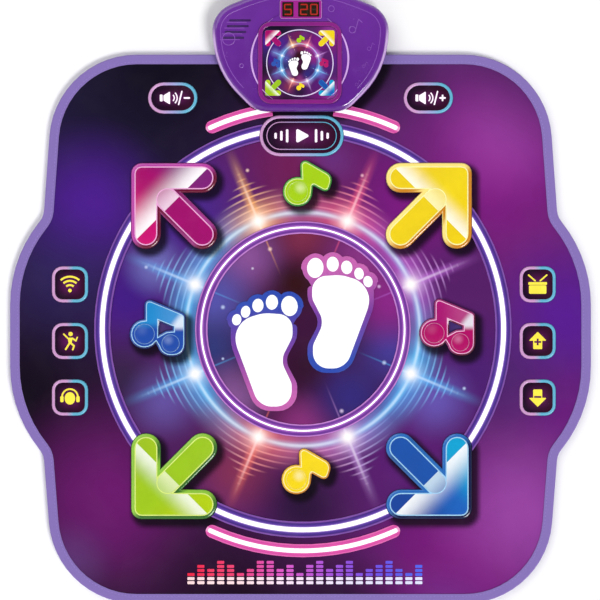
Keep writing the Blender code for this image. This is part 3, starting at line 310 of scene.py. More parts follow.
def pill(bm, centre, width, height, radius, z=0.0):
    """A flat rectangle with rounded corners."""
    x, y = centre
    w, h = width / 2, height / 2
    corners = [(x - w, y - h), (x + w, y - h), (x + w, y + h), (x - w, y + h)]
    before = set(bm.faces)
    rounded_face(bm, [(*corner, radius) for corner in corners], z)
    return [face for face in bm.faces if face not in before]


def place(bm, centre=(0, 0), turn=0.0, size=1.0, verts=None, mirrored=False):
    """Scales, mirrors, turns and moves what was modelled round the origin."""
    verts = verts or bm.verts[:]
    flip = Matrix.Scale(-1, 4, (1, 0, 0)) if mirrored else Matrix()
    scale = Matrix.Diagonal((size, size, 1, 1))
    matrix = Matrix.Translation((*centre, 0)) @ Matrix.Rotation(math.radians(turn), 4, "Z") @ scale @ flip
    bmesh.ops.transform(bm, matrix=matrix, verts=verts)
    if mirrored:
        faces = {face for vert in verts for face in vert.link_faces}
        bmesh.ops.reverse_faces(bm, faces=list(faces))


def block(bm, faces, rows, top=0):
    """Steps flat faces upwards and closes the block below."""
    bottom = bmesh.ops.duplicate(bm, geom=faces)["geom"]
    bmesh.ops.reverse_faces(bm, faces=[f for f in bottom if isinstance(f, bmesh.types.BMFace)])
    steps(bm, faces, rows, top)
    bmesh.ops.remove_doubles(bm, verts=bm.verts, dist=1e-6)


def raised(bm, faces, height, soft=0.0):
    """Makes flat faces a low block, its upper edge rounded by soft; both in millimetres."""
    rows = [(0.0, height - soft, 0)]
    if soft:
        rows += [(0.3 * soft, 0.6 * soft, 0), (0.7 * soft, 0.4 * soft, 0)]
    block(bm, faces, rows)


def spun(bm, radius, width, start, end, count, height=0.0):
    """A flat band round the origin, spun between two angles in degrees; its vertices."""
    before = set(bm.verts)
    near = bm.verts.new((radius - width / 2, 0, height))
    far = bm.verts.new((radius + width / 2, 0, height))
    edge = bm.edges.new((near, far))
    bmesh.ops.rotate(bm, verts=[near, far], matrix=Matrix.Rotation(math.radians(start), 3, "Z"))
    bmesh.ops.spin(
        bm, geom=[near, far, edge], cent=(0, 0, 0), axis=(0, 0, 1), angle=math.radians(end - start),
        steps=count, use_merge=end - start >= 360,
    )
    return [vert for vert in bm.verts if vert not in before]


def band(radius, width, start, end, count, height, round_ends=0.0):
    """A flat band round the rings' centre, as a new mesh."""
    bm = bmesh.new()
    spun(bm, radius, width, start, end, count, height)
    bmesh.ops.translate(bm, vec=RING_CENTRE, verts=bm.verts)
    bmesh.ops.recalc_face_normals(bm, faces=bm.faces)
    turned_up(bm, bm.faces)
    if round_ends:
        bevelled(bm, [vert for vert in bm.verts if len(vert.link_edges) == 2], "VERTICES", round_ends, 6)
    return bm


class Drawing:
    """Flat shapes in millimetres round an origin, which are then raised and set on a piece."""

    def __init__(self):
        self.bm = bmesh.new()

    def area(self, corners):
        """A face with corners (x, y, radius)."""
        rounded_face(self.bm, [(x / 1000, y / 1000, radius / 1000) for x, y, radius in corners], 0.0)
        return self

    def box(self, x, y, width, height, radius=0.0, turn=0.0):
        """A rectangle with rounded corners."""
        before = set(self.bm.verts)
        w, h = width / 2, height / 2
        self.area([(-w, -h, radius), (w, -h, radius), (w, h, radius), (-w, h, radius)])
        made = [vert for vert in self.bm.verts if vert not in before]
        place(self.bm, (x / 1000, y / 1000), turn, 1.0, made)
        return self

    def bar(self, x1, y1, x2, y2, width):
        """A straight bar with round ends between two points."""
        length = math.hypot(x2 - x1, y2 - y1) + width
        turn = math.degrees(math.atan2(y2 - y1, x2 - x1))
        return self.box((x1 + x2) / 2, (y1 + y2) / 2, length, width, width * 0.48, turn)

    def disc(self, x, y, half_width, half_height=None, turn=0.0, count=28):
        """A disc or an ellipse."""
        turned = Matrix.Translation((x / 1000, y / 1000, 0)) @ Matrix.Rotation(math.radians(turn), 4, "Z")
        size = Matrix.Diagonal((half_width / 1000, (half_height or half_width) / 1000, 1, 1))
        bmesh.ops.create_circle(self.bm, cap_ends=True, segments=count, radius=1.0, matrix=turned @ size)
        return self

    def arc(self, x, y, radius, width, start=0.0, end=360.0, count=24):
        """A ring, or a part of one between two angles."""
        made = spun(self.bm, radius / 1000, width / 1000, start, end, count)
        place(self.bm, (x / 1000, y / 1000), 0.0, 1.0, made)
        return self

    def finished(self, height, centre, z, size=1.0, turn=0.0, soft=0.0, mirrored=False):
        """The shapes raised to a height in millimetres, at a centre and level in metres."""
        made, apart = self.bm.copy(), 0.000012
        for face in made.faces:
            face.normal_update()
        turned_up(made, made.faces)
        raised(made, made.faces[:], height, soft)
        # Shapes that overlap get slightly different heights, so that no two tops lie in one plane.
        for i, shape in enumerate(loops_of(made)):
            bmesh.ops.translate(made, vec=(0, 0, i % 6 * apart), verts=list(shape))
        place(made, centre, turn, size, mirrored=mirrored)
        bmesh.ops.translate(made, vec=(0, 0, z), verts=made.verts)
        return made

    def set_on(self, target, material_index, *where, **how):
        """Adds the finished shapes to another mesh."""
        made = self.finished(*where, **how)
        join(target, made, material_index)


def join(target, other, material_index=None):
    """Adds one mesh to another, with one material if given."""
    if material_index is not None:
        for face in other.faces:
            face.material_index = material_index
    carried = bpy.data.meshes.new("carried")
    other.to_mesh(carried)
    other.free()
    target.from_mesh(carried)
    bpy.data.meshes.remove(carried)


def softened(bm, width, segments=2, least=35.0):
    """Rounds the sharp edges a little."""
    sharp = [
        edge for edge in bm.edges
        if len(edge.link_faces) == 2 and edge.calc_face_angle() > math.radians(least)
        and edge.calc_length() > 3 * width
    ]
    bevelled(bm, sharp, "EDGES", width, segments)
    return bm


# Pieces.
def linked(name, bm):
    """The mesh as an object in the scene."""
    mesh = bpy.data.meshes.new(name)
    bm.to_mesh(mesh)
    bm.free()
    obj = bpy.data.objects.new(name, mesh)
    bpy.context.scene.collection.objects.link(obj)
    return obj


def middle_of(node):
    """The middle of a node's box, seen from above."""
    low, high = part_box(node)
    return (low[0] + high[0]) / 2, (low[1] + high[1]) / 2


def piece(name, bm, materials, body="root", crease=32.0):
    """The mesh as a finished piece that rides on a body, smooth but for its sharp edges."""
    for face in bm.faces:
        face.smooth = True
    for edge in bm.edges:
        edge.smooth = len(edge.link_faces) == 2 and edge.calc_face_angle() < math.radians(crease)
    obj = linked(name, bm)
    for material in materials:
        obj.data.materials.append(material)
    flats = obj.modifiers.new("flat_faces", "WEIGHTED_NORMAL")
    flats.keep_sharp = True
    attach(obj, body)
    return obj


def in_place_of(node, name, bm, materials, crease=32.0):
    """A piece that stands for a CAD node and rides on the same body."""
    obj = piece(name, bm, materials, body_of(node), crease)
    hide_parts(node)
    return obj


def detail(name, bm, materials, slot, body="root"):
    """A piece that stands on others; the slot is not used."""
    piece(name, bm, materials, body)


def softly_dressed(node, soft_edge, finish):
    """A node with its edges softened, or left as they are where soft_edge is 0."""
    bm = copy_of(node, soft_edge > 0)
    if soft_edge:
        softened(bm, soft_edge)
    return in_place_of(node, node + "_dressed", bm, [finish])


def body_of(node):
    """The body that a node rides on."""
    return node if node in frame["bodies"] else "root"


def helper(name, bm):
    """An object that is only used while a mesh is shaped."""
    bmesh.ops.recalc_face_normals(bm, faces=bm.faces)
    return linked(name, bm)


def shaped(name, bm, tools):
    """The mesh after each (operation, tool mesh) of a list."""
    obj = helper(name, bm)
    used = [obj]
    for i, (operation, tool) in enumerate(tools):
        other = helper(f"{name}_tool_{i}", tool)
        used.append(other)
        modifier = obj.modifiers.new(operation, "BOOLEAN")
        modifier.operation = operation
        modifier.solver = "EXACT"
        modifier.object = other
    evaluated = obj.evaluated_get(bpy.context.evaluated_depsgraph_get())
    made = bmesh.new()
    made.from_mesh(evaluated.to_mesh())
    for other in used:
        bpy.data.objects.remove(other)
    bmesh.ops.remove_doubles(made, verts=made.verts, dist=1e-6)
    return made


def upright(bm, faces, low, high):
    """A flat face as a block between two heights."""
    verts = {vert for face in faces for vert in face.verts}
    bmesh.ops.translate(bm, vec=(0, 0, low - faces[0].verts[0].co.z), verts=list(verts))
    raised(bm, faces, (high - low) * 1000)
    return bm


# Materials.
def tint(red, green, blue):
    """A colour as it shows on a screen, from 0 to 255, for a shader."""
    def linear(value):
        value /= 255
        return value / 12.92 if value <= 0.04045 else ((value + 0.055) / 1.055) ** 2.4

    return (linear(red), linear(green), linear(blue), 1.0)


WHITE = tint(255, 255, 255)
# A pad's gloss: the size, depth and unevenness of its grain, and its roughness from one patch to the next.
GLOSS = (0.0009, 0.00002, 0.03, (0.16, 0.26))
# Buttons wider than this have a ring of three colours.
WIDE_BUTTON = 0.07


class Nodes:
    """Adds shader nodes to a tree; a value may be another node's socket or plain numbers."""

    def __init__(self, tree):
        self.tree = tree

    def add(self, kind, **settings):
        node = self.tree.nodes.new("ShaderNode" + kind)
        for key, value in settings.items():
            setattr(node, key, value)
        return node

    def put(self, value, socket):
        if isinstance(value, bpy.types.NodeSocket):
            self.tree.links.new(value, socket)
        elif value is not None:
            socket.default_value = value

    def math(self, operation, *values):
        node = self.add("Math", operation=operation)
        for value, socket in zip(values, node.inputs):
            self.put(value, socket)
        return node.outputs[0]

    def vector(self, operation, *values):
        node = self.add("VectorMath", operation=operation)
        for value, socket in zip(values, node.inputs):
            self.put(value, socket)
        single = operation in ("LENGTH", "DISTANCE", "DOT_PRODUCT")
        return node.outputs["Value" if single else "Vector"]

    def times(self, product, *values):
        """The product of some values."""
        for value in values:
            product = self.math("MULTIPLY", product, value)
        return product

    def flat(self, vector):
        """The vector without its height."""
        return self.vector("MULTIPLY", vector, (1, 1, 0))

    def fade(self, value, start, end, low=0.0, high=1.0):
        """Goes smoothly from low to high as the value goes from start to end."""
        node = self.add("MapRange", interpolation_type="SMOOTHSTEP")
        for item, socket in zip((value, start, end, low, high), node.inputs):
            self.put(item, socket)
        return node.outputs[0]

    def mix(self, share, first, second, blend="MIX"):
        node = self.add("Mix", data_type="RGBA", blend_type=blend)
        self.put(share, node.inputs[0])
        self.put(first, node.inputs[6])
        self.put(second, node.inputs[7])
        return node.outputs[2]

    def over(self, colour, tone, *masks):
        """A tone laid over a colour where the product of some masks is high."""
        return self.mix(self.times(*masks), colour, tone)

    def ramp(self, value, stops):
        """Colours at places from 0 to 1."""
        node = self.add("ValToRGB")
        elements = node.color_ramp.elements
        while len(elements) < len(stops):
            elements.new(1.0)
        for element, (at, colour) in zip(elements, stops):
            element.position = at
            element.color = colour
        self.put(value, node.inputs[0])
        return node.outputs[0]

    def noise(self, seen, scale, detail=2.0, roughness=0.5):
        node = self.add("TexNoise")
        inputs = {"Vector": seen, "Scale": scale, "Detail": detail, "Roughness": roughness}
        for name, value in inputs.items():
            self.put(value, node.inputs[name])
        return node.outputs["Fac"]

    def seen_from(self, centre=(0, 0, 0), turn=0.0, size=(1, 1, 1)):
        """Object coordinates measured from a centre, turned and scaled."""
        mapping = self.add("Mapping", vector_type="TEXTURE")
        self.put(self.add("TexCoord").outputs["Object"], mapping.inputs["Vector"])
        mapping.inputs["Location"].default_value = centre
        mapping.inputs["Rotation"].default_value = (0, 0, math.radians(turn))
        mapping.inputs["Scale"].default_value = size
        return mapping.outputs[0]

    def split(self, vector):
        node = self.add("SeparateXYZ")
        self.put(vector, node.inputs[0])
        return node.outputs

    def effect(self, group, output, **inputs):
        """One output of a shared effect."""
        node = self.add("Group", node_tree=group)
        for name, value in inputs.items():
            self.put(value, node.inputs[name.replace("_", " ")])
        return node.outputs[output]


def shared_effect(name, inputs, outputs):
    """An empty node group with named inputs, each with a default, and named outputs."""
    group = bpy.data.node_groups.new(name, "ShaderNodeTree")
    for title, kind, value in inputs:
        socket = group.interface.new_socket(title, in_out="INPUT", socket_type="NodeSocket" + kind)
        if value is not None:
            socket.default_value = value
    for title, kind in outputs:
        group.interface.new_socket(title, in_out="OUTPUT", socket_type="NodeSocket" + kind)
    made = Nodes(group)
    return group, made, group.nodes.new("NodeGroupInput").outputs, group.nodes.new("NodeGroupOutput").inputs


def spot_effect():
    """A soft round spot: 1 at its centre, 0 at its reach."""
    group, n, given, out = shared_effect(
        "soft_spot", [("Place", "Vector", None), ("Centre", "Vector", None), ("Reach", "Float", 0.1)],
        [("Mask", "Float")],
    )
    far = n.vector("DISTANCE", given["Place"], given["Centre"])
    n.put(n.fade(far, given["Reach"], 0.0), out["Mask"])
    return group


def grain_effect():
    """Fine surface grain: a height for a bump, and a shade that wanders round 1."""
    group, n, given, out = shared_effect(
        "fine_grain", [("Place", "Vector", None), ("Size", "Float", 0.0006), ("Unevenness", "Float", 0.06)],
        [("Height", "Float"), ("Shade", "Float"), ("Smudge", "Float")],
    )
    scale = n.math("DIVIDE", 1.0, given["Size"])
    n.put(n.noise(given["Place"], scale, 3.0, 0.6), out["Height"])
    wide = n.noise(given["Place"], 38.0, 3.0, 0.55)
    low = n.math("SUBTRACT", 1.0, given["Unevenness"])
    high = n.math("ADD", 1.0, given["Unevenness"])
    n.put(n.fade(wide, 0.3, 0.7, low, high), out["Shade"])
    n.put(n.fade(n.noise(given["Place"], 17.0, 4.0, 0.65), 0.42, 0.68), out["Smudge"])
    return group


def weave_effect():
    """A plain weave: threads over and under, a height for a bump, and a shade for the gaps."""
    group, n, given, out = shared_effect(
        "plain_weave", [("Place", "Vector", None), ("Thread", "Float", 0.0009)],
        [("Height", "Float"), ("Shade", "Float")],
    )
    scaled = n.add("VectorMath", operation="SCALE")
    n.put(given["Place"], scaled.inputs[0])
    n.put(n.math("DIVIDE", math.pi, given["Thread"]), scaled.inputs["Scale"])
    x, y, _ = n.split(scaled.outputs[0])
    height = n.math("ABSOLUTE", n.times(n.math("SINE", x), n.math("SINE", y)))
    n.put(height, out["Height"])
    n.put(n.fade(height, 0.0, 0.5, 0.86, 1.05), out["Shade"])
    return group


SPOT, GRAIN, WEAVE = spot_effect(), grain_effect(), weave_effect()


def material(name, colour=None, roughness=0.4, metallic=0.0, specular=0.5, coat=0.0, glow=0.0, soft=0.0):
    """A new material, its plain values on the shader, with the nodes to build on."""
    made = bpy.data.materials.new(name)
    made.use_nodes = True
    shader = made.node_tree.nodes["Principled BSDF"].inputs
    if colour:
        shader["Base Color"].default_value = colour
        made.diffuse_color = colour
    values = {
        "Roughness": roughness, "Metallic": metallic, "Specular IOR Level": specular, "Coat Weight": coat,
        "Coat Roughness": 0.08, "Emission Strength": glow,
    }
    if soft:
        values.update({"Sheen Weight": soft, "Sheen Roughness": 0.5})
    for title, value in values.items():
        shader[title].default_value = value
    return made, Nodes(made.node_tree), shader


def bumped(n, shader, height, depth, strength=0.5):
    """Bumps of a depth in metres."""
    bump = n.add("Bump")
    bump.inputs["Strength"].default_value = strength
    bump.inputs["Distance"].default_value = depth
    n.put(height, bump.inputs["Height"])
    n.put(bump.outputs[0], shader["Normal"])


def surface(n, shader, colour, size=0.0006, depth=0.00004, unevenness=0.06, rough=(0.3, 0.45), glow=False):
    """Grain, slow colour changes and handled patches on a colour."""
    inputs = dict(Place=n.seen_from(), Size=size, Unevenness=unevenness)
    shade = n.effect(GRAIN, "Shade", **inputs)
    toned = n.mix(1.0, colour, shade, "MULTIPLY")
    n.put(toned, shader["Base Color"])
    if glow:
        n.put(toned, shader["Emission Color"])
    n.put(n.fade(n.effect(GRAIN, "Smudge", **inputs), 0.0, 1.0, *rough), shader["Roughness"])
    bumped(n, shader, n.effect(GRAIN, "Height", **inputs), depth)


def plain(name, colour, roughness=0.4, metallic=0.0, size=0.0006, depth=0.00003, coat=0.0, glow=0.0):
    """A material of one colour."""
    made, n, shader = material(name, colour, roughness, metallic, 0.5, coat, glow)
    surface(n, shader, colour, size, depth, 0.05, (roughness * 0.85, roughness * 1.25), glow > 0)
    return made


def across(name, stops, centre, length, turn=0.0, roughness=0.3, glow=0.0):
    """A material whose colour changes along a line through a centre."""
    made, n, shader = material(name, stops[0][1], roughness, glow=glow)
    x = n.split(n.seen_from((*centre, 0), turn, (length, 1, 1)))[0]
    colour = n.ramp(n.math("ADD", x, 0.5), stops)
    surface(n, shader, colour, 0.0008, 0.00002, 0.04, (roughness * 0.85, roughness * 1.2), glow > 0)
    return made


def glows(n, seen, colour, rows):
    """Soft round spots laid over a colour."""
    for red, green, blue, x, y, reach, strength in rows:
        mask = n.effect(SPOT, "Mask", Place=seen, Centre=(x, y, 0), Reach=reach)
        colour = n.over(colour, tint(red, green, blue), mask, strength)
    return colour


def halo_and_rays(n, colour, radius, angle, tone):
    """A bright ring with eight rays, a star where each crosses it, and fine arcs, shorter further out."""
    eighth = math.pi / 4
    off = n.math("SUBTRACT", n.math("FLOORED_MODULO", angle, eighth), eighth / 2)
    aside = n.times(n.math("ABSOLUTE", off), radius)
    beyond = n.math("SUBTRACT", radius, HALO)
    out = n.math("ABSOLUTE", beyond)
    outside = n.fade(radius, 0.150, 0.160)
    colour = n.over(colour, tone, n.fade(out, 0.046, 0.0), n.fade(aside, 0.09, 0.0, 0.55, 1.0), outside, 0.75)
    line = n.mix(0.55, tone, tint(130, 214, 250))
    colour = n.over(colour, line, n.fade(out, 0.0090, 0.0), 0.75)
    colour = n.over(colour, n.mix(0.55, line, WHITE), n.fade(out, 0.0040, 0.0), 0.60)
    wave = n.math("COSINE", n.times(beyond, 2 * math.pi / 0.0098))
    reach = n.fade(radius, 0.175, 0.262, 0.110, 0.004)
    arcs = n.times(n.fade(wave, 0.35, 1.0), n.fade(n.math("DIVIDE", aside, reach), 1.0, 0.1))
    zone = n.times(n.fade(radius, 0.184, 0.190), n.fade(radius, 0.275, 0.23))
    colour = n.over(colour, n.mix(0.15, tone, WHITE), arcs, zone, 0.72)
    colour = n.over(colour, tone, n.fade(aside, 0.012, 0.0), n.fade(out, 0.135, 0.0), outside, 0.75)
    bright = n.mix(0.5, tone, WHITE)
    colour = n.over(colour, bright, n.fade(aside, 0.0036, 0.0), n.fade(out, 0.105, 0.0), outside, 0.8)
    near = n.math("SQRT", n.math("ADD", n.math("POWER", aside, 2.0), n.math("POWER", out, 2.0)))
    colour = n.over(colour, n.mix(0.4, tone, WHITE), n.fade(near, 0.034, 0.0), outside, 0.7)
    star = n.math("POWER", n.fade(near, 0.020, 0.0), 1.5)
    colour = n.over(colour, tint(255, 250, 246), star, outside)
    inwards = n.times(n.fade(radius, 0.085, 0.150), n.fade(radius, 0.160, 0.150))
    return n.over(colour, tone, n.fade(aside, 0.0022, 0.0), inwards, 0.4)


def printed_art(name, centre, size):
    """A print of soft glows, a halo with rays, small sparks, and soft shadows round the pads."""
    made, n, shader = material(name, tint(60, 30, 80), 0.32, 0.0, 0.16)
    seen = n.flat(n.seen_from(centre, 0, (size, size, size)))
    x, y, _ = n.split(seen)
    radius, angle = n.vector("LENGTH", seen), n.math("ARCTAN2", y, x)
    side, up = n.fade(x, -0.25, 0.25), n.fade(y, -0.4, 0.4)
    left = n.mix(up, tint(52, 16, 58), tint(30, 22, 58))
    right = n.mix(up, tint(92, 24, 104), tint(84, 38, 100))
    colour = glows(n, seen, n.mix(side, left, right), GROUND_GLOWS)
    colour = n.mix(n.fade(radius, 0.300, 0.296), colour, glows(n, seen, tint(82, 26, 98), BETWEEN_GLOWS))
    colour = n.mix(n.fade(radius, 0.158, 0.150), colour, glows(n, seen, tint(58, 14, 56), MIDDLE_GLOWS))
    turn = n.math("ADD", n.math("DIVIDE", angle, 2 * math.pi), 0.5)
    tone = n.ramp(turn, [(share, tint(*rest)) for share, *rest in HALO_TONES])
    colour = halo_and_rays(n, colour, radius, angle, tone)
    spark_tone = n.mix(0.5, tone, tint(255, 240, 255))
    for spark_x, spark_y, reach in SPARKS:
        mask = n.effect(SPOT, "Mask", Place=seen, Centre=(spark_x, spark_y, 0), Reach=reach)
        colour = n.over(colour, spark_tone, mask, 0.8)
    shadow = n.add("Attribute", attribute_name="pad_shadow").outputs["Fac"]
    colour = n.over(colour, tint(8, 0, 12), shadow, 0.92)
    surface(n, shader, colour, 0.0011, 0.00006, 0.02, (0.32, 0.38))
    return made


def arrow_face(name, corner, turn, tones, size=1.0):
    """An arrow's face: tones from tip to tip, a slanting painted sheen, and painted sheen on its shaft's
    round end.
    """
    left, middle, right, shaft, light, _, _, _, sheen_from, strength = tones
    face, n, shader = material(name + "_face", middle, 0.22, 0.0, 0.5, 0.25)
    seen = n.seen_from((*corner, 0), turn, (size, size, size))
    down, aside, _ = n.split(seen)
    colour = n.mix(n.fade(aside, -0.055, 0.0), right, middle)
    colour = n.mix(n.fade(aside, 0.0, 0.055), colour, left)
    before = n.fade(down, 0.0896, 0.0890)
    # Painted sheen: strongest at the slanting line, fading towards the corner, and on the shaft's round end.
    sheen = n.math("POWER", n.fade(down, sheen_from, 0.0895), 1.5)
    colour = n.over(colour, n.mix(0.8, light, WHITE), sheen, before, strength)
    hub = n.vector("DISTANCE", n.flat(seen), (HUB_AWAY / 1000, 0, 0))
    straight = n.times(n.fade(n.math("ABSOLUTE", aside), 0.0169, 0.0164), n.fade(down, 0.0790, 0.0796))
    in_hub = n.math("MAXIMUM", n.fade(hub, 0.0169, 0.0164), straight)
    hub_tone = n.mix(n.fade(down, 0.060, 0.0895, 0.35, 0.85), shaft, light)
    colour = n.mix(in_hub, colour, n.mix(before, shaft, hub_tone))
    surface(n, shader, colour, *GLOSS)
    return face


def pad_side(name, lit, shaded):
    """A pad's sloping side: lighter where it faces the upper left, darker at the lower right."""
    made, n, shader = material(name, lit, 0.22, 0.0, 0.5, 0.35)
    outwards = n.flat(n.add("NewGeometry").outputs["Normal"])
    facing = n.vector("DOT_PRODUCT", n.vector("NORMALIZE", outwards), (-0.64, 0.77, 0.0))
    surface(n, shader, n.mix(n.fade(facing, -0.7, 0.5), shaded, lit), 0.0009, 0.00002, 0.03, (0.18, 0.28))
    return made


def note_face(name, tone, glint, centre, heads):
    """A note's face: a painted highlight on each head, and a painted sheen at the end of a double note's
    beam.
    """
    made, n, shader = material(name + "_face", tone, 0.2, 0.0, 0.5, 0.3)
    seen = n.flat(n.seen_from((*centre, 0)))
    colour = tone
    if len(glint) == 2:
        along, up, _ = n.split(seen)
        beam = n.mix(n.fade(along, -0.015, 0.028), glint[1], n.mix(0.12, glint[1], glint[0]))
        colour = n.mix(n.fade(up, -0.004, 0.012), tone, beam)
        slanted = n.math("SUBTRACT", along, n.times(up, 0.8))
        sheen = n.times(n.fade(slanted, 0.011, 0.026), n.fade(up, -0.006, 0.004))
        colour = n.over(colour, tint(240, 248, 255), sheen, n.fade(along, 0.016, 0.020, 0.0, 0.75))
    # Painted highlight: a pale spot on each head.
    for x, y, radius in heads:
        aside, strength = (0.28, 0.48) if len(glint) == 1 else (-0.25, 0.32 if x > 0 else 0.1)
        middle = ((x + radius * aside) / 1000, (y + radius * 0.38) / 1000, 0)
        mask = n.effect(SPOT, "Mask", Place=seen, Centre=middle, Reach=radius * 0.8 / 1000)
        colour = n.over(colour, glint[0], mask, strength)
    surface(n, shader, colour, *GLOSS)
    return made


def button_well(name, centre, width):
    """A button's dark middle with a faint glow across it."""
    made, n, shader = material(name + "_well", tint(40, 8, 38), 0.22, 0.0, 0.35, 0.3)
    x, y, _ = n.split(n.seen_from((*centre, 0), 0, (width, width, 1)))
    colour = n.mix(n.fade(x, -0.45, 0.45), tint(24, 6, 32), tint(50, 9, 38))
    reach = 0.42 if width < WIDE_BUTTON else 0.20
    glow = n.times(n.fade(y, -reach, 0.0), n.fade(y, reach, 0.0))
    glow = n.times(glow, n.times(n.fade(x, -0.42, -0.05), n.fade(x, 0.42, 0.05)))
    colour = n.over(colour, tint(98, 26, 92), glow, 0.80)
    surface(n, shader, colour, 0.0008, 0.00002, 0.04, (0.18, 0.28))
    return made


def ring_flank(name, centre_radius, half, *tones):
    """A light strip's coloured sides: bright beside its core, then middling, then dark, with an edge line."""
    bright, middle, dark, edge = (tint(*tone) for tone in tones)
    made, n, shader = material(name, dark, 0.35, 0.0, 0.4, 0.0, 0.12)
    radius = n.vector("LENGTH", n.flat(n.seen_from(RING_CENTRE)))
    off = n.math("DIVIDE", n.math("ABSOLUTE", n.math("SUBTRACT", radius, centre_radius)), half)
    colour = n.ramp(off, [(0.28, bright), (0.42, middle), (0.74, dark), (0.86, edge), (1.0, edge)])
    surface(n, shader, colour, 0.0008, 0.00002, 0.04, (0.28, 0.4), True)
    return made


def console_plastic():
    """Glossy purple plastic with a painted highlight, lilac, on its lower side edges."""
    made, n, shader = material("console_shell", tint(104, 44, 148), 0.22, 0.0, 0.5, 0.4)
    x, _, z = n.split(n.add("NewGeometry").outputs["Normal"])
    # Painted highlight: lilac where the edge leans sideways, towards the front.
    leaning = n.times(n.fade(z, 0.96, 0.80), n.fade(z, 0.20, 0.45))
    sideways = n.fade(n.math("ABSOLUTE", x), 0.25, 0.55)
    height = n.split(n.seen_from((0.0, 0.43, 0.0)))[1]
    colour = n.mix(n.fade(height, -0.10, 0.10), tint(94, 33, 138), tint(106, 45, 151))
    colour = n.over(colour, tint(222, 186, 240), leaning, sideways, n.fade(height, 0.045, 0.015), 0.75)
    surface(n, shader, colour, 0.0012, 0.00003, 0.04, (0.18, 0.28))
    return made


def woven(n, seen, tone, thread):
    """A cloth's colour, and the height of its weave."""
    weave = dict(Place=seen, Thread=thread)
    return n.mix(1.0, tone, n.effect(WEAVE, "Shade", **weave), "MULTIPLY"), n.effect(WEAVE, "Height", **weave)


def grip_cloth():
    """Black base cloth with rows of raised rubber dots."""
    made, n, shader = material("base_cloth", tint(40, 40, 44), 0.9, soft=0.2)
    seen = n.seen_from()
    spaced = n.vector("FRACTION", n.vector("MULTIPLY", seen, (125, 125, 0)))
    dots = n.fade(n.vector("DISTANCE", spaced, (0.5, 0.5, 0)), 0.27, 0.21)
    cloth, height = woven(n, seen, tint(40, 40, 44), 0.0012)
    n.put(n.mix(dots, cloth, tint(16, 16, 18)), shader["Base Color"])
    n.put(n.fade(dots, 0.0, 1.0, 0.92, 0.55), shader["Roughness"])
    bumped(n, shader, n.math("ADD", dots, n.times(height, 0.15)), 0.0005, 0.7)
    return made


def tape_weave():
    """The edge tape's woven cloth."""
    made, n, shader = material("edge_tape", tint(124, 102, 172), 0.75, soft=0.3)
    cloth, height = woven(n, n.seen_from(), tint(128, 104, 178), 0.0011)
    n.put(cloth, shader["Base Color"])
    bumped(n, shader, height, 0.00015, 0.6)
    return made


# For each arrow: its tones at one tip, the corner, the other tip and the shaft, the tone of its painted
# sheen, its lit and shaded sides, its rim, where its sheen starts, and how strong it is.
ARROW_TONES = {
    "arrow_pad_up_left": (
        tint(124, 30, 118), tint(164, 12, 104), tint(200, 14, 112), tint(160, 14, 108), tint(248, 220, 240),
        tint(186, 66, 164), tint(104, 2, 46), tint(238, 168, 218), 0.034, 0.95,
    ),
    "arrow_pad_up_right": (
        tint(238, 206, 24), tint(240, 212, 30), tint(238, 206, 30), tint(238, 208, 30), tint(252, 246, 190),
        tint(255, 230, 130), tint(204, 132, 26), tint(252, 246, 172), 0.050, 0.85,
    ),
    "arrow_pad_down_right": (
        tint(28, 68, 152), tint(30, 96, 184), tint(20, 160, 208), tint(30, 82, 168), tint(206, 228, 240),
        tint(40, 108, 188), tint(8, 20, 66), tint(160, 208, 240), 0.036, 0.92,
    ),
    "arrow_pad_down_left": (
        tint(158, 194, 34), tint(158, 198, 30), tint(178, 206, 22), tint(154, 196, 34), tint(232, 242, 190),
        tint(142, 196, 62), tint(54, 108, 40), tint(220, 238, 126), 0.046, 0.80,
    ),
}
# For each note: its tone, its lit and shaded sides, its rim, its painted highlight, and a double note's beam.
NOTES = {
    "note_pad_top": (
        tint(166, 208, 24), tint(96, 178, 60), tint(48, 128, 40), tint(228, 246, 150),
        (tint(246, 252, 200),),
    ),
    "note_pad_bottom": (
        tint(244, 214, 28), tint(240, 184, 44), tint(200, 128, 26), tint(254, 246, 170),
        (tint(255, 250, 214),),
    ),
    "note_pad_left": (
        tint(34, 76, 168), tint(40, 84, 170), tint(16, 34, 96), tint(168, 214, 246),
        (tint(170, 190, 230), tint(34, 138, 206)),
    ),
    "note_pad_right": (
        tint(176, 14, 100), tint(150, 30, 108), tint(88, 2, 40), tint(246, 176, 220),
        (tint(240, 170, 210), tint(168, 20, 112)),
    ),
}
art = printed_art("cover_print", RING_CENTRE, 1.0)
small_art = printed_art("picture_print", PICTURE_CENTRE, PICTURE_SIZE)
tape_cloth = tape_weave()
thread = plain("tape_thread", tint(146, 124, 194), 0.7)
core_light = plain("strip_core", tint(255, 252, 255), 0.3, glow=0.35)
flanks = {
    "outer": ring_flank(
        "outer_strip", OUTER_RING, 0.0125, (178, 150, 214), (84, 52, 150), (58, 32, 112), (120, 74, 158)
    ),
    "inner": ring_flank(
        "inner_strip", INNER_RING, 0.0095, (156, 92, 182), (110, 52, 146), (98, 44, 136), (182, 118, 194)
    ),
    "accent": ring_flank(
        "accent_strip", ACCENT, 0.010, (232, 150, 200), (210, 84, 160), (200, 66, 150), (216, 96, 168)
    ),
}
shell_purple = console_plastic()
# Paler than the shell: the raised lines' own colour, and partly a painted highlight on them.
shell_line = plain("console_line", tint(134, 78, 176), 0.22, coat=0.3)
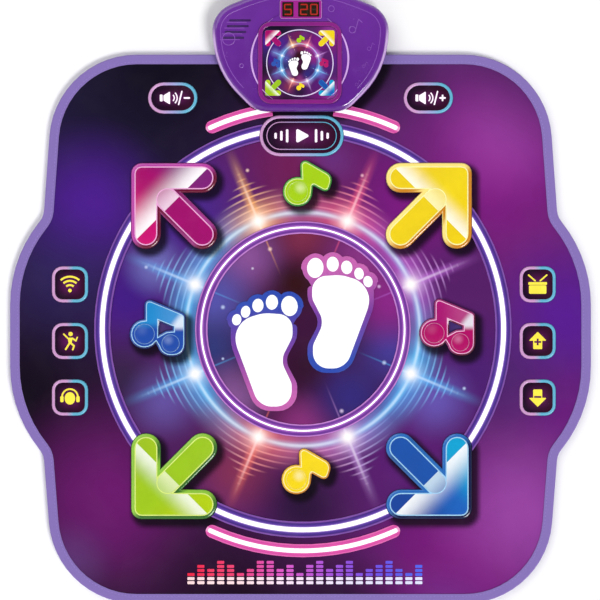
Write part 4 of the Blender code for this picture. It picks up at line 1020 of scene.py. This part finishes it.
# The crescents' lilac and faint glow: a painted highlight on the round boss's edge.
crescent_light = plain("crescent_light", tint(206, 160, 226), 0.2, coat=0.3, glow=0.05)
digit_red = plain("digit_red", tint(168, 34, 24), 0.3, glow=0.12)
pad_base = plain("pad_base", tint(58, 28, 104), 0.4)
digit_dark = plain("digit_dark", tint(44, 34, 20), 0.3)
lens_dark = plain("display_lens", tint(38, 30, 18), 0.15, coat=0.4)
bezel_magenta = plain("display_bezel", tint(158, 36, 140), 0.22, coat=0.3)
bezel_edge = plain("bezel_edge", tint(186, 128, 202), 0.22, coat=0.3)
board_green = plain("board_green", tint(24, 92, 52), 0.4)
speaker_paper = plain("speaker_paper", tint(46, 26, 70), 0.9)
small_ring = plain("small_ring", tint(214, 196, 232), 0.3, glow=0.1)
base_violet = plain("console_base", tint(74, 34, 112), 0.35)
frame_magenta = plain("picture_frame", tint(134, 32, 128), 0.2, coat=0.4)
steel = plain("steel", tint(190, 190, 195), 0.3, 1.0)
black_plastic = plain("black_plastic", tint(28, 28, 30), 0.45)
foam_grey = plain("foam", tint(200, 200, 204), 0.95, size=0.0015, depth=0.0003)
film_clear = plain("circuit_film", tint(190, 205, 196), 0.3)
rubber = grip_cloth()
grille_cloth = plain("grille_cloth", tint(58, 18, 94), 0.8, size=0.0009, depth=0.0001)
cell_wrap = plain("cell_wrap", tint(36, 38, 44), 0.3)
# The icons and footprints glow a little: painted light, not a lamp.
icon_yellow = plain("icon_yellow", tint(244, 226, 72), 0.3, glow=0.10)
icon_white = plain("icon_white", tint(255, 240, 255), 0.3, glow=0.15)
foot_white = plain("foot_white", tint(252, 252, 255), 0.35, glow=0.1)


# Cover, edge tape and the layers under them.
def laid(sheet, node, height, *rests_on):
    """Measures a node's flat section at a height; the piece given is not used, and the area is not kept."""
    section, faces = level(node, height)
    area = sum(face.calc_area() for face in faces)
    section.free()


def shadow_casters():
    """The pads and the console as flat faces at height 0, moved the way their shadows fall."""
    flat = bmesh.new()
    for node in [*ARROWS, *NOTES]:
        join(flat, level(node, PAD_SECTION)[0])
    join(flat, level("console_front_cover", CONSOLE_SECTION, holes=False)[0])
    for vert in flat.verts:
        vert.co = Vector((vert.co.x + SHADOW_SHIFT[0], vert.co.y + SHADOW_SHIFT[1], 0.0))
    return flat


def build_cover():
    """The printed cover, cut into small squares so that it can hold the pads' soft shadows."""
    bm = copy_of("printed_cover")
    pitch = 0.004
    low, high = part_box("printed_cover")
    for axis in (0, 1):
        at = low[axis] + pitch / 2
        while at < high[axis]:
            point, normal = [0, 0, 0], [0, 0, 0]
            point[axis], normal[axis] = at, 1
            top = [face for face in bm.faces if face.normal.z > 0.9]
            edges = {edge for face in top for edge in face.edges}
            parts = [*{vert for edge in edges for vert in edge.verts}, *edges, *top]
            bmesh.ops.bisect_plane(bm, geom=parts, dist=1e-7, plane_co=point, plane_no=normal)
            at += pitch
    flat = shadow_casters()
    near = BVHTree.FromBMesh(flat)
    flat.free()
    shadow = bm.verts.layers.float.new("pad_shadow")
    for vert in bm.verts:
        found = near.find_nearest(Vector((vert.co.x, vert.co.y, 0.0)), SHADOW_REACH)
        share = 0.0 if found[3] is None else 1.0 - found[3] / SHADOW_REACH
        vert[shadow] = (share * share * (3 - 2 * share)) ** 0.75
    cover = in_place_of("printed_cover", "cover_sheet", bm, [art])
    laid(cover, "printed_cover", COVER_SECTION, "spacer_foam")


def build_tape():
    """The folded edge tape, its upper outer corner rounded."""
    bm = copy_of("edge_binding")
    corner_angle, inside, soft_edge = 1.2, 0.38, 0.0024
    corners = [
        edge for edge in bm.edges
        if len(edge.link_faces) == 2 and edge.calc_face_angle() > corner_angle
        and all(abs(vert.co.z - TAPE_TOP) < 1e-5 for vert in edge.verts)
        and any(abs(face.normal.z) < 0.5 for face in edge.link_faces)
        and all(vert.co.xy.length > inside for vert in edge.verts)
    ]
    outer = outermost(corners)
    bevelled(bm, outer, "EDGES", soft_edge, 5)
    tape = in_place_of("edge_binding", "edge_tape", bm, [tape_cloth], crease=50)


def seam():
    """Points along the tape's inner edge, in order round the mat."""
    from_edge, same_turn = 0.0035, 0.02
    bm, faces = level("edge_binding", TAPE_SECTION)
    step(bm, faces, from_edge, 0.0)
    rim = {vert for face in faces for vert in face.verts}
    rim = [vert for vert in rim if any(edge.other_vert(vert) not in rim for edge in vert.link_edges)]
    around = sorted((math.atan2(v.co.y, v.co.x), v.co.x, v.co.y) for v in rim)
    points = []
    for angle, x, y in around:
        same = [math.hypot(px, py) for a, px, py in around if abs(a - angle) < same_turn]
        if math.hypot(x, y) < (min(same) + max(same)) / 2:
            points.append(Vector((x, y, 0)))
    bm.free()
    return points


def build_stitches():
    """A row of stitches along the seam."""
    one = bmesh.new()
    bmesh.ops.create_uvsphere(one, u_segments=8, v_segments=4, radius=1.0)
    stitch = bpy.data.meshes.new("stitch")
    one.to_mesh(stitch)
    one.free()
    points = seam()
    made, left = bmesh.new(), 0.0
    for start, end in zip(points, points[1:] + points[:1]):
        way = end - start
        turn = Matrix.Rotation(math.atan2(way.y, way.x), 4, "Z")
        while left < way.length:
            at = start + way * (left / way.length)
            matrix = Matrix.Translation((at.x, at.y, TAPE_TOP)) @ turn @ Matrix.Diagonal((*STITCH, 1))
            stitch.transform(matrix)
            made.from_mesh(stitch)
            stitch.transform(matrix.inverted())
            left += STITCH_PITCH
        left -= way.length
    bpy.data.meshes.remove(stitch)
    detail("tape_stitches", made, [thread], "binding")


# Pads and buttons.
def pad_on(name, rows, top):
    """A pad or button cut off and built up again in steps."""
    bm = copy_of(name)
    steps(bm, close(bm, cut_at(bm, PAD_CUT)), rows, top)
    return bm


def build_arrow(name):
    """An arrow pad with a bright rim, and a raised line round its shaft's end."""
    corner, turn = ARROWS[name]
    lit, shaded, rim = ARROW_TONES[name][5:8]
    bm = pad_on(name, [
        (0, 0.6, 0), (0.45, 0.8, 0), (0.9, 0.65, 0), (1.5, 0.4, 0), (2.2, 0.15, 0),
        (0.35, 0.3, 1), (1.1, 0.05, 1), (0.35, -0.3, 1), (1.2, 0.2, 2), (3.0, 0.15, 2), (4.0, 0.05, 2),
    ], 2)
    hub = Drawing().arc(HUB_AWAY, 0, HUB_RADIUS, 1.6, 90, 270, 22)
    for side in (1, -1):
        hub.box(HUB_AWAY + 3.5, side * HUB_RADIUS, 7.0, 1.6)
    hub.set_on(bm, 1, 0.5, corner, PAD_FACE, turn=turn, soft=0.35)
    face = arrow_face(name, corner, turn, ARROW_TONES[name])
    materials = [pad_side(name + "_side", lit, shaded), plain(name + "_rim", rim, 0.2, coat=0.4), face]
    return in_place_of(name, name + "_dressed", bm, materials)


def build_note(name):
    """A note pad with a bright rim, and a ring round the low dome of each head."""
    tone, lit, shaded, rim, glint = NOTES[name]
    bm = pad_on(name, [
        (0, 0.6, 0), (0.4, 0.8, 0), (0.8, 0.7, 0), (1.3, 0.45, 0),
        (0.3, 0.25, 1), (0.8, 0.05, 1), (0.2, -0.25, 1),
    ], 2)
    for face in bm.faces:
        if face.calc_center_median().z < COVER_TOP - 0.0001:
            face.material_index = 3
    x, y = NOTE_CENTRES[name]
    heads = [(-16, -12, 15.5)] if len(glint) == 1 else [(-20.5, -9, 15.5), (20, -23.5, 13.5)]
    # The face, with its painted highlights on the heads and painted sheen on the beam.
    gloss = note_face(name, tone, glint, (x, y), heads)
    for dx, dy, radius in heads:
        middle = (x + dx / 1000, y + dy / 1000)
        Drawing().arc(0, 0, radius, 1.0).set_on(bm, 4, 0.5, middle, PAD_FACE, soft=0.25)
        dome = Drawing().disc(0, 0, radius - 0.4).finished(0.1, middle, PAD_FACE - 0.0002)
        top = [face for face in dome.faces if face.normal.z > 0.9]
        steps(dome, top, [(1.5, 0.3, 2), (3.0, 0.25, 2), (4.0, 0.12, 2)], 2)
        join(bm, dome, 2)
    edge = plain(name + "_rim", rim, 0.2, coat=0.4)
    softer = tuple(0.62 * a + 0.38 * b for a, b in zip(tone, rim))
    head_edge = plain(name + "_head_edge", softer, 0.2, coat=0.4)
    materials = [pad_side(name + "_side", lit, shaded), edge, gloss, pad_base, head_edge]
    return in_place_of(name, name + "_dressed", bm, materials)


def build_button(name, symbol, symbol_tone, mark=None):
    """A button: a lit ring round a dark well, with a symbol on it and a dark mark on some symbols."""
    low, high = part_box(name)
    centre, width = middle_of(name), high[0] - low[0] - 0.004
    bm = pad_on(name, [
        (0, 0.8, 0), (0.4, 0.65, 0), (0.8, 0.45, 0), (1.1, 0.1, 0), (1.1, -0.1, 0), (0.7, -0.45, 0),
        (0.4, -0.5, 0), (0.5, -0.1, 1),
    ], 1)
    if name == "start_button":
        join_inner_ring(bm, centre)
    symbol.set_on(bm, 2, 0.35, centre, SYMBOL_LEVEL, size=SYMBOL_SIZES.get(name, 1.0), soft=0.15)
    if mark:
        mark.set_on(bm, 1, 0.1, centre, MARK_LEVEL)
    pink, middle, cyan = tint(196, 146, 194), tint(156, 154, 206), tint(92, 170, 200)
    stops = [(0.40, pink), (0.60, cyan)]
    if width > WIDE_BUTTON:
        stops = [(0.22, pink), (0.5, middle), (0.78, cyan)]
    lit = across(name + "_ring", stops, centre, width, roughness=0.28, glow=0.10)
    return in_place_of(name, name + "_dressed", bm, [lit, button_well(name, centre, width), symbol_tone])


def join_inner_ring(bm, centre):
    """The start button's thin second ring."""
    ring = bmesh.new()
    faces = pill(ring, (0, 0), width=0.109, height=0.0434, radius=0.0216)
    step(ring, faces, 0.0013, 0.0, 3)
    bmesh.ops.delete(ring, geom=faces, context="FACES")
    turned_up(ring, ring.faces)
    raised(ring, ring.faces[:], 0.3, 0.12)
    bmesh.ops.translate(ring, vec=(*centre, SYMBOL_LEVEL), verts=ring.verts)
    join(bm, ring, 0)


def build_foot(name):
    """A footprint: a coloured border with white toes and sole on it."""
    centre, mirrored = FEET[name]
    flat, faces = level(name, PAD_SECTION)
    white, lobes = Drawing(), []
    for out, high, half_width, half_height, turn in TOES:
        white.disc(out, high, half_width, half_height, turn)
        lobe = Drawing().disc(out, high, half_width + 7.2, half_height + 7.0, turn, 40)
        lobes.append(("UNION", lobe.finished(0.5, centre, FOOT_BOTTOM, mirrored=mirrored)))
    bm = shaped(name + "_outline", upright(flat, faces, FOOT_BOTTOM, FOOT_TOP), lobes)
    bmesh.ops.dissolve_limit(bm, angle_limit=math.radians(0.5), verts=bm.verts, edges=bm.edges)
    bmesh.ops.recalc_face_normals(bm, faces=bm.faces)
    steps(bm, [face for face in bm.faces if face.normal.z > 0.9], [(0.25, 0.25, 0), (0.5, 0.1, 0)], 0)
    white.area(SOLE)
    white.set_on(bm, 1, 0.55, centre, FOOT_TOP + 0.00025, soft=0.4, mirrored=mirrored)
    blue, middle, pink = tint(42, 72, 172), tint(118, 60, 158), tint(196, 98, 174)
    first, last = (pink, blue) if mirrored else (blue, pink)
    low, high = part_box(name)
    stops = [(0.12, first), (0.5, middle), (0.88, last)]
    border = across(name + "_border", stops, middle_of(name), high[1] - low[1], 90)
    return in_place_of(name, name + "_dressed", bm, [border, foot_white])


# Light strips.
def light_core(name, slot, core, height, soft):
    """A strip's white core, raised from its flat band."""
    raised(core, core.faces[:], height, soft)
    detail(name + "_core", core, [core_light], slot)


def build_strips():
    """The light strips' coloured sides, and the white cores on them."""
    for name in [node for node in nodes if "_light" in node]:
        bm = copy_of(name)
        top = [face for face in bm.faces if face.normal.z > 0.9]
        step(bm, top, 0.0004, 0.0)
        inner = {vert for face in top for vert in face.verts}
        rim = {vert for vert in bm.verts if vert.co.z > STRIP_TOP + 0.0001} - inner
        bmesh.ops.translate(bm, vec=(0, 0, -0.0003), verts=list(rim))
        in_place_of(name, name + "_strip", bm, [flanks[name.split("_")[0]]])
    core = band(OUTER_RING, 0.0070, 0, 360, 240, STRIP_TOP)
    raised(core, core.faces[:], 0.6, 0.4)
    for i, name in enumerate([node for node in nodes if node.startswith("outer_light")]):
        tool = upright(*level(name, PAD_SECTION), 0.005, 0.02)
        made = shaped(f"core_{i}", core.copy(), [("INTERSECT", tool)])
        detail(name + "_core", made, [core_light], "light_strip")
    core.free()
    light_core("inner_light", "light_strip", band(INNER_RING, 0.0026, 0, 360, 150, STRIP_TOP), 0.5, 0.3)
    for name, start, end in (("top_right", 64.8, 82.0), ("top_left", 98.0, 115.2), ("bottom", -115.2, -64.8)):
        core = band(ACCENT, 0.0068, start, end, round((end - start) / 1.1), STRIP_TOP, 0.0030)
        light_core("accent_" + name, "accent_strip", core, 0.6, 0.4)


def build_level_bars():
    """A row of stacked level bars where the lower edge has its band of print."""
    heights = (3, 5, 4, 6, 5, 3, 4, 6, 6, 4, 5, 3, 5, 6, 4, 5, 6, 3, 4, 5, 6, 4, 3, 5)
    left, bottom, pitch, rise = -169.8, -393.0, 15.35, 6.3
    tall, low = Drawing(), Drawing()
    for i, count in enumerate(heights):
        for row in range(count):
            target = tall if row >= 2 else low
            target.box(left + i * pitch, bottom + row * rise, 11.0, 4.6, 1.2)
    bm = bmesh.new()
    tall.set_on(bm, 0, 0.3, (0, 0), COVER_TOP, soft=0.12)
    low.set_on(bm, 1, 0.3, (0, 0), COVER_TOP, soft=0.12)
    warm = [
        (0.0, tint(226, 30, 60)), (0.22, tint(226, 60, 110)), (0.42, tint(206, 84, 190)),
        (0.62, tint(150, 76, 206)), (0.82, tint(96, 74, 214)), (1.0, tint(70, 92, 226)),
    ]
    # The two lowest rows are paler, a painted reflection under the bars; all bars glow a little: painted
    # light.
    pale = [(at, tuple(0.35 * c + 0.65 for c in colour[:3]) + (1.0,)) for at, colour in warm]
    middle, length = (0.0066, -0.377), 0.369
    above = across("level_bars_upper", warm, middle, length, glow=0.1)
    below = across("level_bars_lower", pale, middle, length, glow=0.1)
    detail("level_bars", bm, [above, below], "light_strip")


# Console. The middles of the speaker's slots, in millimetres.
SLOTS = [(-93.25 - i * 3.5, 476.35 - i * 8.9) for i in range(4)]


def build_lip_line():
    """A thin line inside the console's edge, as far as the mat's own edge."""
    from_edge, width, mat_edge = 0.0085, 0.0012, 0.372
    bm, faces = level("console_front_cover", LIP_SECTION, holes=False)
    step(bm, faces, from_edge, 0.0)
    bmesh.ops.delete(bm, geom=[face for face in bm.faces if face not in set(faces)], context="FACES")
    step(bm, faces, width, 0.0)
    bmesh.ops.delete(bm, geom=faces, context="FACES")
    bmesh.ops.bisect_plane(
        bm, geom=everything(bm), dist=1e-7, plane_co=(0, mat_edge, 0), plane_no=(0, 1, 0), clear_inner=True
    )
    raised(bm, bm.faces[:], 0.45, 0.3)
    bmesh.ops.translate(bm, vec=(0, 0, SHELL_TOP - LIP_SECTION), verts=bm.verts)
    detail("console_lip_line", bm, [shell_line], "console_shell")


def build_crescents():
    """Two crescents beside the picture, thinner towards their ends; their lilac and faint glow are a painted
    highlight.
    """
    marks, radius, reach = Drawing(), 0.0742, 56
    for middle in (0, 180):
        before = set(marks.bm.verts)
        marks.arc(0, 0, radius * 1000, 3.0, middle - reach, middle + reach, 30)
        for vert in [v for v in marks.bm.verts if v not in before]:
            angle = math.degrees(math.atan2(vert.co.y, vert.co.x * (1 if middle == 0 else -1)))
            thin = max(0.08, math.cos(math.radians(angle * 90 / reach)))
            away = vert.co.length
            vert.co *= (radius + 0.0006 + (away - radius) * thin) / away
    made = marks.finished(0.5, (-0.001, 0.417), CRESCENT_LEVEL, soft=0.3)
    detail("console_crescents", made, [crescent_light], "console_shell")


def build_relief():
    """Rings, small notes and lines that stand out of the console's face, in millimetres."""
    symbols = bmesh.new()
    for x, y, radius in ((-110.8, 447.8, 9.6), (-91.0, 406.5, 3.0)):
        Drawing().arc(0, 0, radius, 1.3).set_on(symbols, 0, 0.4, (x / 1000, y / 1000), SHELL_TOP, soft=0.25)
    for x, y, size in ((86.0, 468.0, 1.0), (109.0, 436.0, 0.55), (100.0, 408.0, 0.42), (89.0, 380.0, 0.42)):
        note = Drawing().arc(-6, -6, 5.0, 1.3).bar(-1.0, -6, 3.5, 10, 1.4).bar(3.5, 10, 9.0, 5.5, 1.4)
        note.set_on(symbols, 0, 0.4, (x / 1000, y / 1000), SHELL_TOP, size=size, soft=0.25)
    Drawing().arc(0, 0, 4.6, 1.2).set_on(symbols, 0, 0.4, (0.0475, 0.4944), SHELL_TOP, soft=0.25)
    # The line under each slot is paler: a painted highlight on the slot's lower edge, on a real raised line.
    for x, y in SLOTS:
        line = Drawing().bar(x - 20.25, y - 3.0, x + 9.75, y - 3.0, 1.2)
        line.set_on(symbols, 0, 0.3, (0, 0), SHELL_TOP, soft=0.2)
    detail("console_relief", symbols, [shell_line], "console_shell")


def build_display():
    """The display's lit and unlit bars, and the line round its bezel."""
    lit, unlit, row = Drawing(), Drawing(), 493.3
    for x, bright, dark in ((-19.5, "afgcd", "be"), (5.2, "abged", "cf"), (20.7, "abcdef", "g")):
        seven_bars(lit, x, row, bright)
        seven_bars(unlit, x, row, dark)
    made = lit.finished(0.15, (0, 0), LENS_TOP, soft=0.05)
    detail("display_digits", made, [digit_red], "display_lens")
    detail("display_unlit_bars", unlit.finished(0.08, (0, 0), LENS_TOP), [digit_dark], "display_lens")
    softly_dressed("picture_frame", 0.0008, frame_magenta)
    softly_dressed("display_bezel", 0.0002, bezel_magenta)
    edge, faces = level("display_bezel", BEZEL_SECTION, holes=False)
    step(edge, faces, 0.0009, 0.0)
    bmesh.ops.delete(edge, geom=faces, context="FACES")
    raised(edge, edge.faces[:], 0.3, 0.12)
    bmesh.ops.translate(edge, vec=(0, 0, 0.0006), verts=edge.verts)
    detail("bezel_edge_line", edge, [bezel_edge], "display_lens")


def build_console():
    """The console's shell with all that stands on it."""
    in_place_of(
        "console_front_cover", "console_shell", copy_of("console_front_cover"), [shell_purple], crease=48
    )
    build_lip_line()
    build_crescents()
    build_relief()
    build_display()
    cloth = bmesh.new()
    for x, y in SLOTS:
        strip = pill(cloth, (x / 1000, y / 1000), width=0.0332, height=0.0029, radius=0.0014, z=CLOTH_LEVEL)
        raised(cloth, strip, 0.6)
    detail("speaker_grille_cloth", cloth, [grille_cloth], "speaker_paper")
    build_picture()


def seven_bars(drawing, x, y, which, wide=5.0, high=7.6):
    """Some of the seven bars of a digit, in millimetres from its middle."""
    ends = {
        "a": (-wide, high, wide, high), "b": (wide, high, wide, 0), "c": (wide, 0, wide, -high),
        "d": (-wide, -high, wide, -high), "e": (-wide, -high, -wide, 0), "f": (-wide, 0, -wide, high),
        "g": (-wide, 0, wide, 0),
    }
    for letter in which:
        x1, y1, x2, y2 = ends[letter]
        gap_x, gap_y = (0.9, 0) if y1 == y2 else (0, 0.9)
        low, high_end = min(y1, y2), max(y1, y2)
        drawing.bar(x + x1 + gap_x, y + low + gap_y, x + x2 - gap_x, y + high_end - gap_y, 2.1)


def build_small_arrow(name, top):
    """One of the picture's arrows."""
    corner, turn = ARROWS[name]
    tones, label = ARROW_TONES[name], "small_" + name
    bm, faces = level(name, PAD_SECTION)
    x, y = (PICTURE_CENTRE[i] + math.copysign(SMALL_ARROW_REACH[i], corner[i]) for i in (0, 1))
    bmesh.ops.translate(bm, vec=(-corner[0], -corner[1], 0), verts=bm.verts)
    bmesh.ops.scale(bm, vec=(SMALL_ARROW, SMALL_ARROW, 1), verts=bm.verts)
    bmesh.ops.translate(bm, vec=(x, y, top - faces[0].verts[0].co.z), verts=bm.verts)
    block(bm, faces, [(0.0, 0.15, 0), (0.25, 0.15, 0), (0.35, 0.05, 1)], 1)
    face = arrow_face(label, (x, y), turn, (tones[2], *tones[1:]), SMALL_ARROW)
    detail(label, bm, [pad_side(label + "_side", *tones[5:7]), face], "picture_panel")


def build_picture():
    """The console's small picture of a mat: pads, ring and feet on a print like the cover's."""
    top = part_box("picture_panel")[1][2]
    small = Matrix.Translation(PICTURE_CENTRE) @ Matrix.Diagonal((PICTURE_SIZE, PICTURE_SIZE, 1, 1))
    small = small @ Matrix.Translation((-RING_CENTRE[0], 0, 0))
    in_place_of("picture_panel", "picture_print", softened(copy_of("picture_panel"), 0.0005), [small_art])

    def shrunk(bm):
        bmesh.ops.transform(bm, matrix=small, verts=bm.verts)
        lowest = min(vert.co.z for vert in bm.verts)
        bmesh.ops.translate(bm, vec=(0, 0, top - lowest), verts=bm.verts)
        return bm

    for name in ARROWS:
        build_small_arrow(name, top)
    ring = bmesh.new()
    join(ring, shrunk(band(OUTER_RING, 0.0090, 0, 360, 120, 0.0)), 0)
    raised(ring, ring.faces[:], 0.12)
    detail("small_ring", ring, [small_ring], "picture_panel")
    feet = bmesh.new()
    for centre, mirrored in FEET.values():
        foot = Drawing()
        for out, height, half_width, half_height, turn in TOES:
            foot.disc(out, height, half_width, half_height, turn, 12)
        foot.area(SOLE)
        join(feet, shrunk(foot.finished(0.2, centre, 0.0, mirrored=mirrored)), 0)
    detail("small_feet", feet, [foot_white], "picture_panel")
    notes = bmesh.new()
    for i, name in enumerate(NOTES):
        bm, faces = level(name, PAD_SECTION)
        raised(shrunk(bm), faces, 0.2, 0.1)
        join(notes, bm, i)
    tones = [plain("small_" + name, NOTES[name][0], 0.3) for name in NOTES]
    detail("small_notes", notes, tones, "picture_panel")


# Symbols, in millimetres.
def volume_symbol(sign):
    shape = Drawing().box(-14.2, 0, 3.6, 8.5, 1.0)
    shape.area([(-11.4, -3.2, 0.4), (-3.2, -8.2, 0.8), (-3.2, 8.2, 0.8), (-11.4, 3.2, 0.4)])
    shape.arc(-3.0, 0, 5.0, 1.6, -48, 48, 10).arc(-3.0, 0, 8.6, 1.6, -48, 48, 12)
    shape.bar(7.4, -8.0, 11.4, 8.0, 1.8).bar(14.6, 0, 20.6, 0, 2.2)
    if sign == "+":
        shape.bar(17.6, -3.0, 17.6, 3.0, 2.2)
    return shape


def play_symbol():
    shape = Drawing().area([(-7.5, -10.5, 2.2), (11.5, 0, 2.2), (-7.5, 10.5, 2.2)])
    for side in (-1, 1):
        for i, high in enumerate((7.5, 5.0, 2.5)):
            x = side * (20.0 + i * 8.0)
            shape.bar(x, -high, x, high, 3.4)
    return shape


def waves_symbol():
    shape = Drawing().disc(0, -9.5, 2.8, count=18)
    for radius in (8.5, 15.0, 21.5):
        shape.arc(0, -9.5, radius, 3.0, 48, 132, 16)
    return shape


def dancer_symbol():
    shape = Drawing().disc(1.0, 10.8, 3.4, count=18)
    shape.area([(-3.6, 5.2, 1.6), (4.4, 5.2, 1.6), (2.6, -3.6, 1.2), (-2.0, -3.6, 1.2)])
    shape.bar(-3.0, 4.0, -9.5, 10.5, 2.4).bar(3.8, 4.2, 9.2, 0.2, 2.4).bar(9.2, 0.2, 11.4, 5.6, 2.2)
    shape.bar(-0.8, -3.6, -6.4, -12.8, 2.8).bar(1.6, -3.6, 6.4, -7.6, 2.8)
    return shape.bar(6.4, -7.6, 4.4, -13.4, 2.6)


def headphones_symbol():
    shape = Drawing().disc(0, -1.2, 8.2, 9.6).arc(0, 1.0, 12.2, 2.6, 0, 180, 18)
    return shape.box(-12.4, -2.4, 5.2, 9.6, 2.0).box(12.4, -2.4, 5.2, 9.6, 2.0)


def drum_symbol():
    shape = Drawing().box(0, 1.4, 29.0, 4.4, 1.4).box(0, -8.0, 27.0, 13.2, 2.0)
    return shape.bar(-4.0, 5.6, -14.0, 14.4, 2.4).bar(4.0, 5.6, 14.0, 14.4, 2.4)


def up_symbol():
    return Drawing().area([
        (-14.0, 0.4, 1.0), (-7.0, 0.4, 0.0), (-7.0, -12.6, 1.4), (7.0, -12.6, 1.4), (7.0, 0.4, 0.0),
        (14.0, 0.4, 1.0), (0, 14.4, 1.0),
    ])


def down_symbol():
    return Drawing().area([
        (-14.0, -0.4, 1.0), (0, -14.4, 1.0), (14.0, -0.4, 1.0), (7.0, -0.4, 0.0), (7.0, 12.6, 1.4),
        (-7.0, 12.6, 1.4), (-7.0, -0.4, 0.0),
    ])


# Inside and underneath.
def build_inner_pieces():
    """What is left, each row with a finish, how far the edges are softened, and the nodes."""
    for finish, soft_edge, names in (
        (base_violet, 0, "console_back_cover"), (lens_dark, 0.0002, "display_lens"),
        (board_green, 0.0003, "display_module"), (board_green, 0.0002, "main_board"),
        (film_clear, 0, "circuit_tail circuit_film"), (foam_grey, 0.0010, "foam_pad"),
        (foam_grey, 0.0004, "spacer_foam"), (rubber, 0, "non_slip_base"),
        (black_plastic, 0.0004, "clamp_bar"), (black_plastic, 0.0003, "speaker_frame"),
        (speaker_paper, 0, "speaker_cone"),
        (steel, 0.0004, "speaker_magnet"), (cell_wrap, 0.0004, "battery_1 battery_2 battery_3"),
        (steel, 0, "battery_contact_left battery_contact_right"), (base_violet, 0, "battery_door"),
        (black_plastic, 0.0004, "power_switch"),
        (steel, 0.0002, "case_screw_1 case_screw_2 case_screw_3 case_screw_4"),
        (steel, 0.0002, "clamp_screw_left clamp_screw_right"),
    ):
        for name in names.split():
            dressed = softly_dressed(name, soft_edge, finish)
            if "foam" in name:
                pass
            elif name == "non_slip_base":
                laid(dressed, name, BASE_SECTION)
            elif name == "circuit_film":
                laid(dressed, name, FILM_SECTION, "foam_pad")


def build_door_grip():
    """The battery door's grip ridges, and an arrow that shows which way it opens."""
    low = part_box("battery_door")[0]
    x = middle_of("battery_door")[0]
    grip, below = bmesh.new(), low[2] - 0.0003
    for i in range(5):
        ridge = Drawing().bar(-9.0, 0, 9.0, 0, 1.0)
        ridge.set_on(grip, 0, 0.3, (x, low[1] + 0.0055 + i * 0.0022), below)
    arrow = Drawing().area([(-4.0, 1.8, 0.4), (4.0, 1.8, 0.4), (0, -3.2, 0.4)])
    arrow.set_on(grip, 0, 0.3, (x, low[1] + 0.0215), below)
    detail("battery_door_grip", grip, [base_violet], "console_base", "battery_door")


# Stage, light and camera.
def build_floor():
    """White paper, half a millimetre under the mat."""
    bm = bmesh.new()
    bmesh.ops.create_grid(bm, x_segments=1, y_segments=1, size=6)
    bmesh.ops.translate(bm, vec=(0, 0, -0.0005), verts=bm.verts)
    floor = linked("floor", bm)
    floor.data.materials.append(material("floor_paper", tint(250, 250, 250), 0.9, specular=0.1)[0])


def build_light():
    """A studio round the mat, brighter below than above, and three wide lamps."""
    world = bpy.data.worlds.new("studio")
    bpy.context.scene.world = world
    world.use_nodes = True
    n = Nodes(world.node_tree)
    height = n.split(n.add("TexCoord").outputs["Generated"])[2]
    greys = ((0.0, 0.85), (0.55, 0.5), (0.85, 0.06))
    colour = n.ramp(height, [(at, (grey, grey, grey, 1)) for at, grey in greys])
    n.put(colour, world.node_tree.nodes["Background"].inputs["Color"])
    for name, strength, spread, turn, tilt in (
        ("key", 1.9, 22, 40, 38), ("fill", 0.9, 50, -140, 42), ("side", 0.5, 60, -50, 45)
    ):
        lamp = bpy.data.lights.new(name, "SUN")
        lamp.energy = strength
        lamp.angle = math.radians(spread)
        obj = bpy.data.objects.new(name, lamp)
        turned = Matrix.Rotation(math.radians(turn), 3, "Z")
        obj.rotation_euler = (turned @ Matrix.Rotation(math.radians(tilt), 3, "X")).to_euler()
        bpy.context.scene.collection.objects.link(obj)


def build_camera():
    """A camera straight above; the picture shows a square of the given width at the cover's height."""
    distance, width_seen = 5.0, 0.930
    camera = bpy.data.cameras.new("camera")
    camera.sensor_width = 36
    camera.lens = camera.sensor_width * (distance - COVER_TOP) / width_seen
    eye = bpy.data.objects.new("camera", camera)
    eye.location = (-0.0008, 0.0451, distance)
    bpy.context.scene.collection.objects.link(eye)
    bpy.context.scene.camera = eye
    bpy.context.scene.view_settings.view_transform = "Standard"


build_cover()
build_tape()
build_stitches()
for name in ARROWS:
    build_arrow(name)
for name in NOTES:
    build_note(name)
plus_mark = Drawing().box(0, -1.5, 2.8, 10.5).box(0, -1.5, 10.5, 2.8)
minus_mark = Drawing().box(0, 1.0, 11.0, 2.8)
build_button("start_button", play_symbol(), icon_white)
build_button("volume_down_button", volume_symbol("-"), icon_white)
build_button("volume_up_button", volume_symbol("+"), icon_white)
for place_on_mat, symbol, mark in (
    ("left_top", waves_symbol(), None), ("left_middle", dancer_symbol(), None),
    ("left_bottom", headphones_symbol(), None), ("right_top", drum_symbol(), None),
    ("right_middle", up_symbol(), plus_mark), ("right_bottom", down_symbol(), minus_mark),
):
    build_button("side_button_" + place_on_mat, symbol, icon_yellow, mark)
build_strips()
for name in FEET:
    build_foot(name)
build_level_bars()
build_console()
build_inner_pieces()
build_door_grip()
build_floor()
build_light()
build_camera()
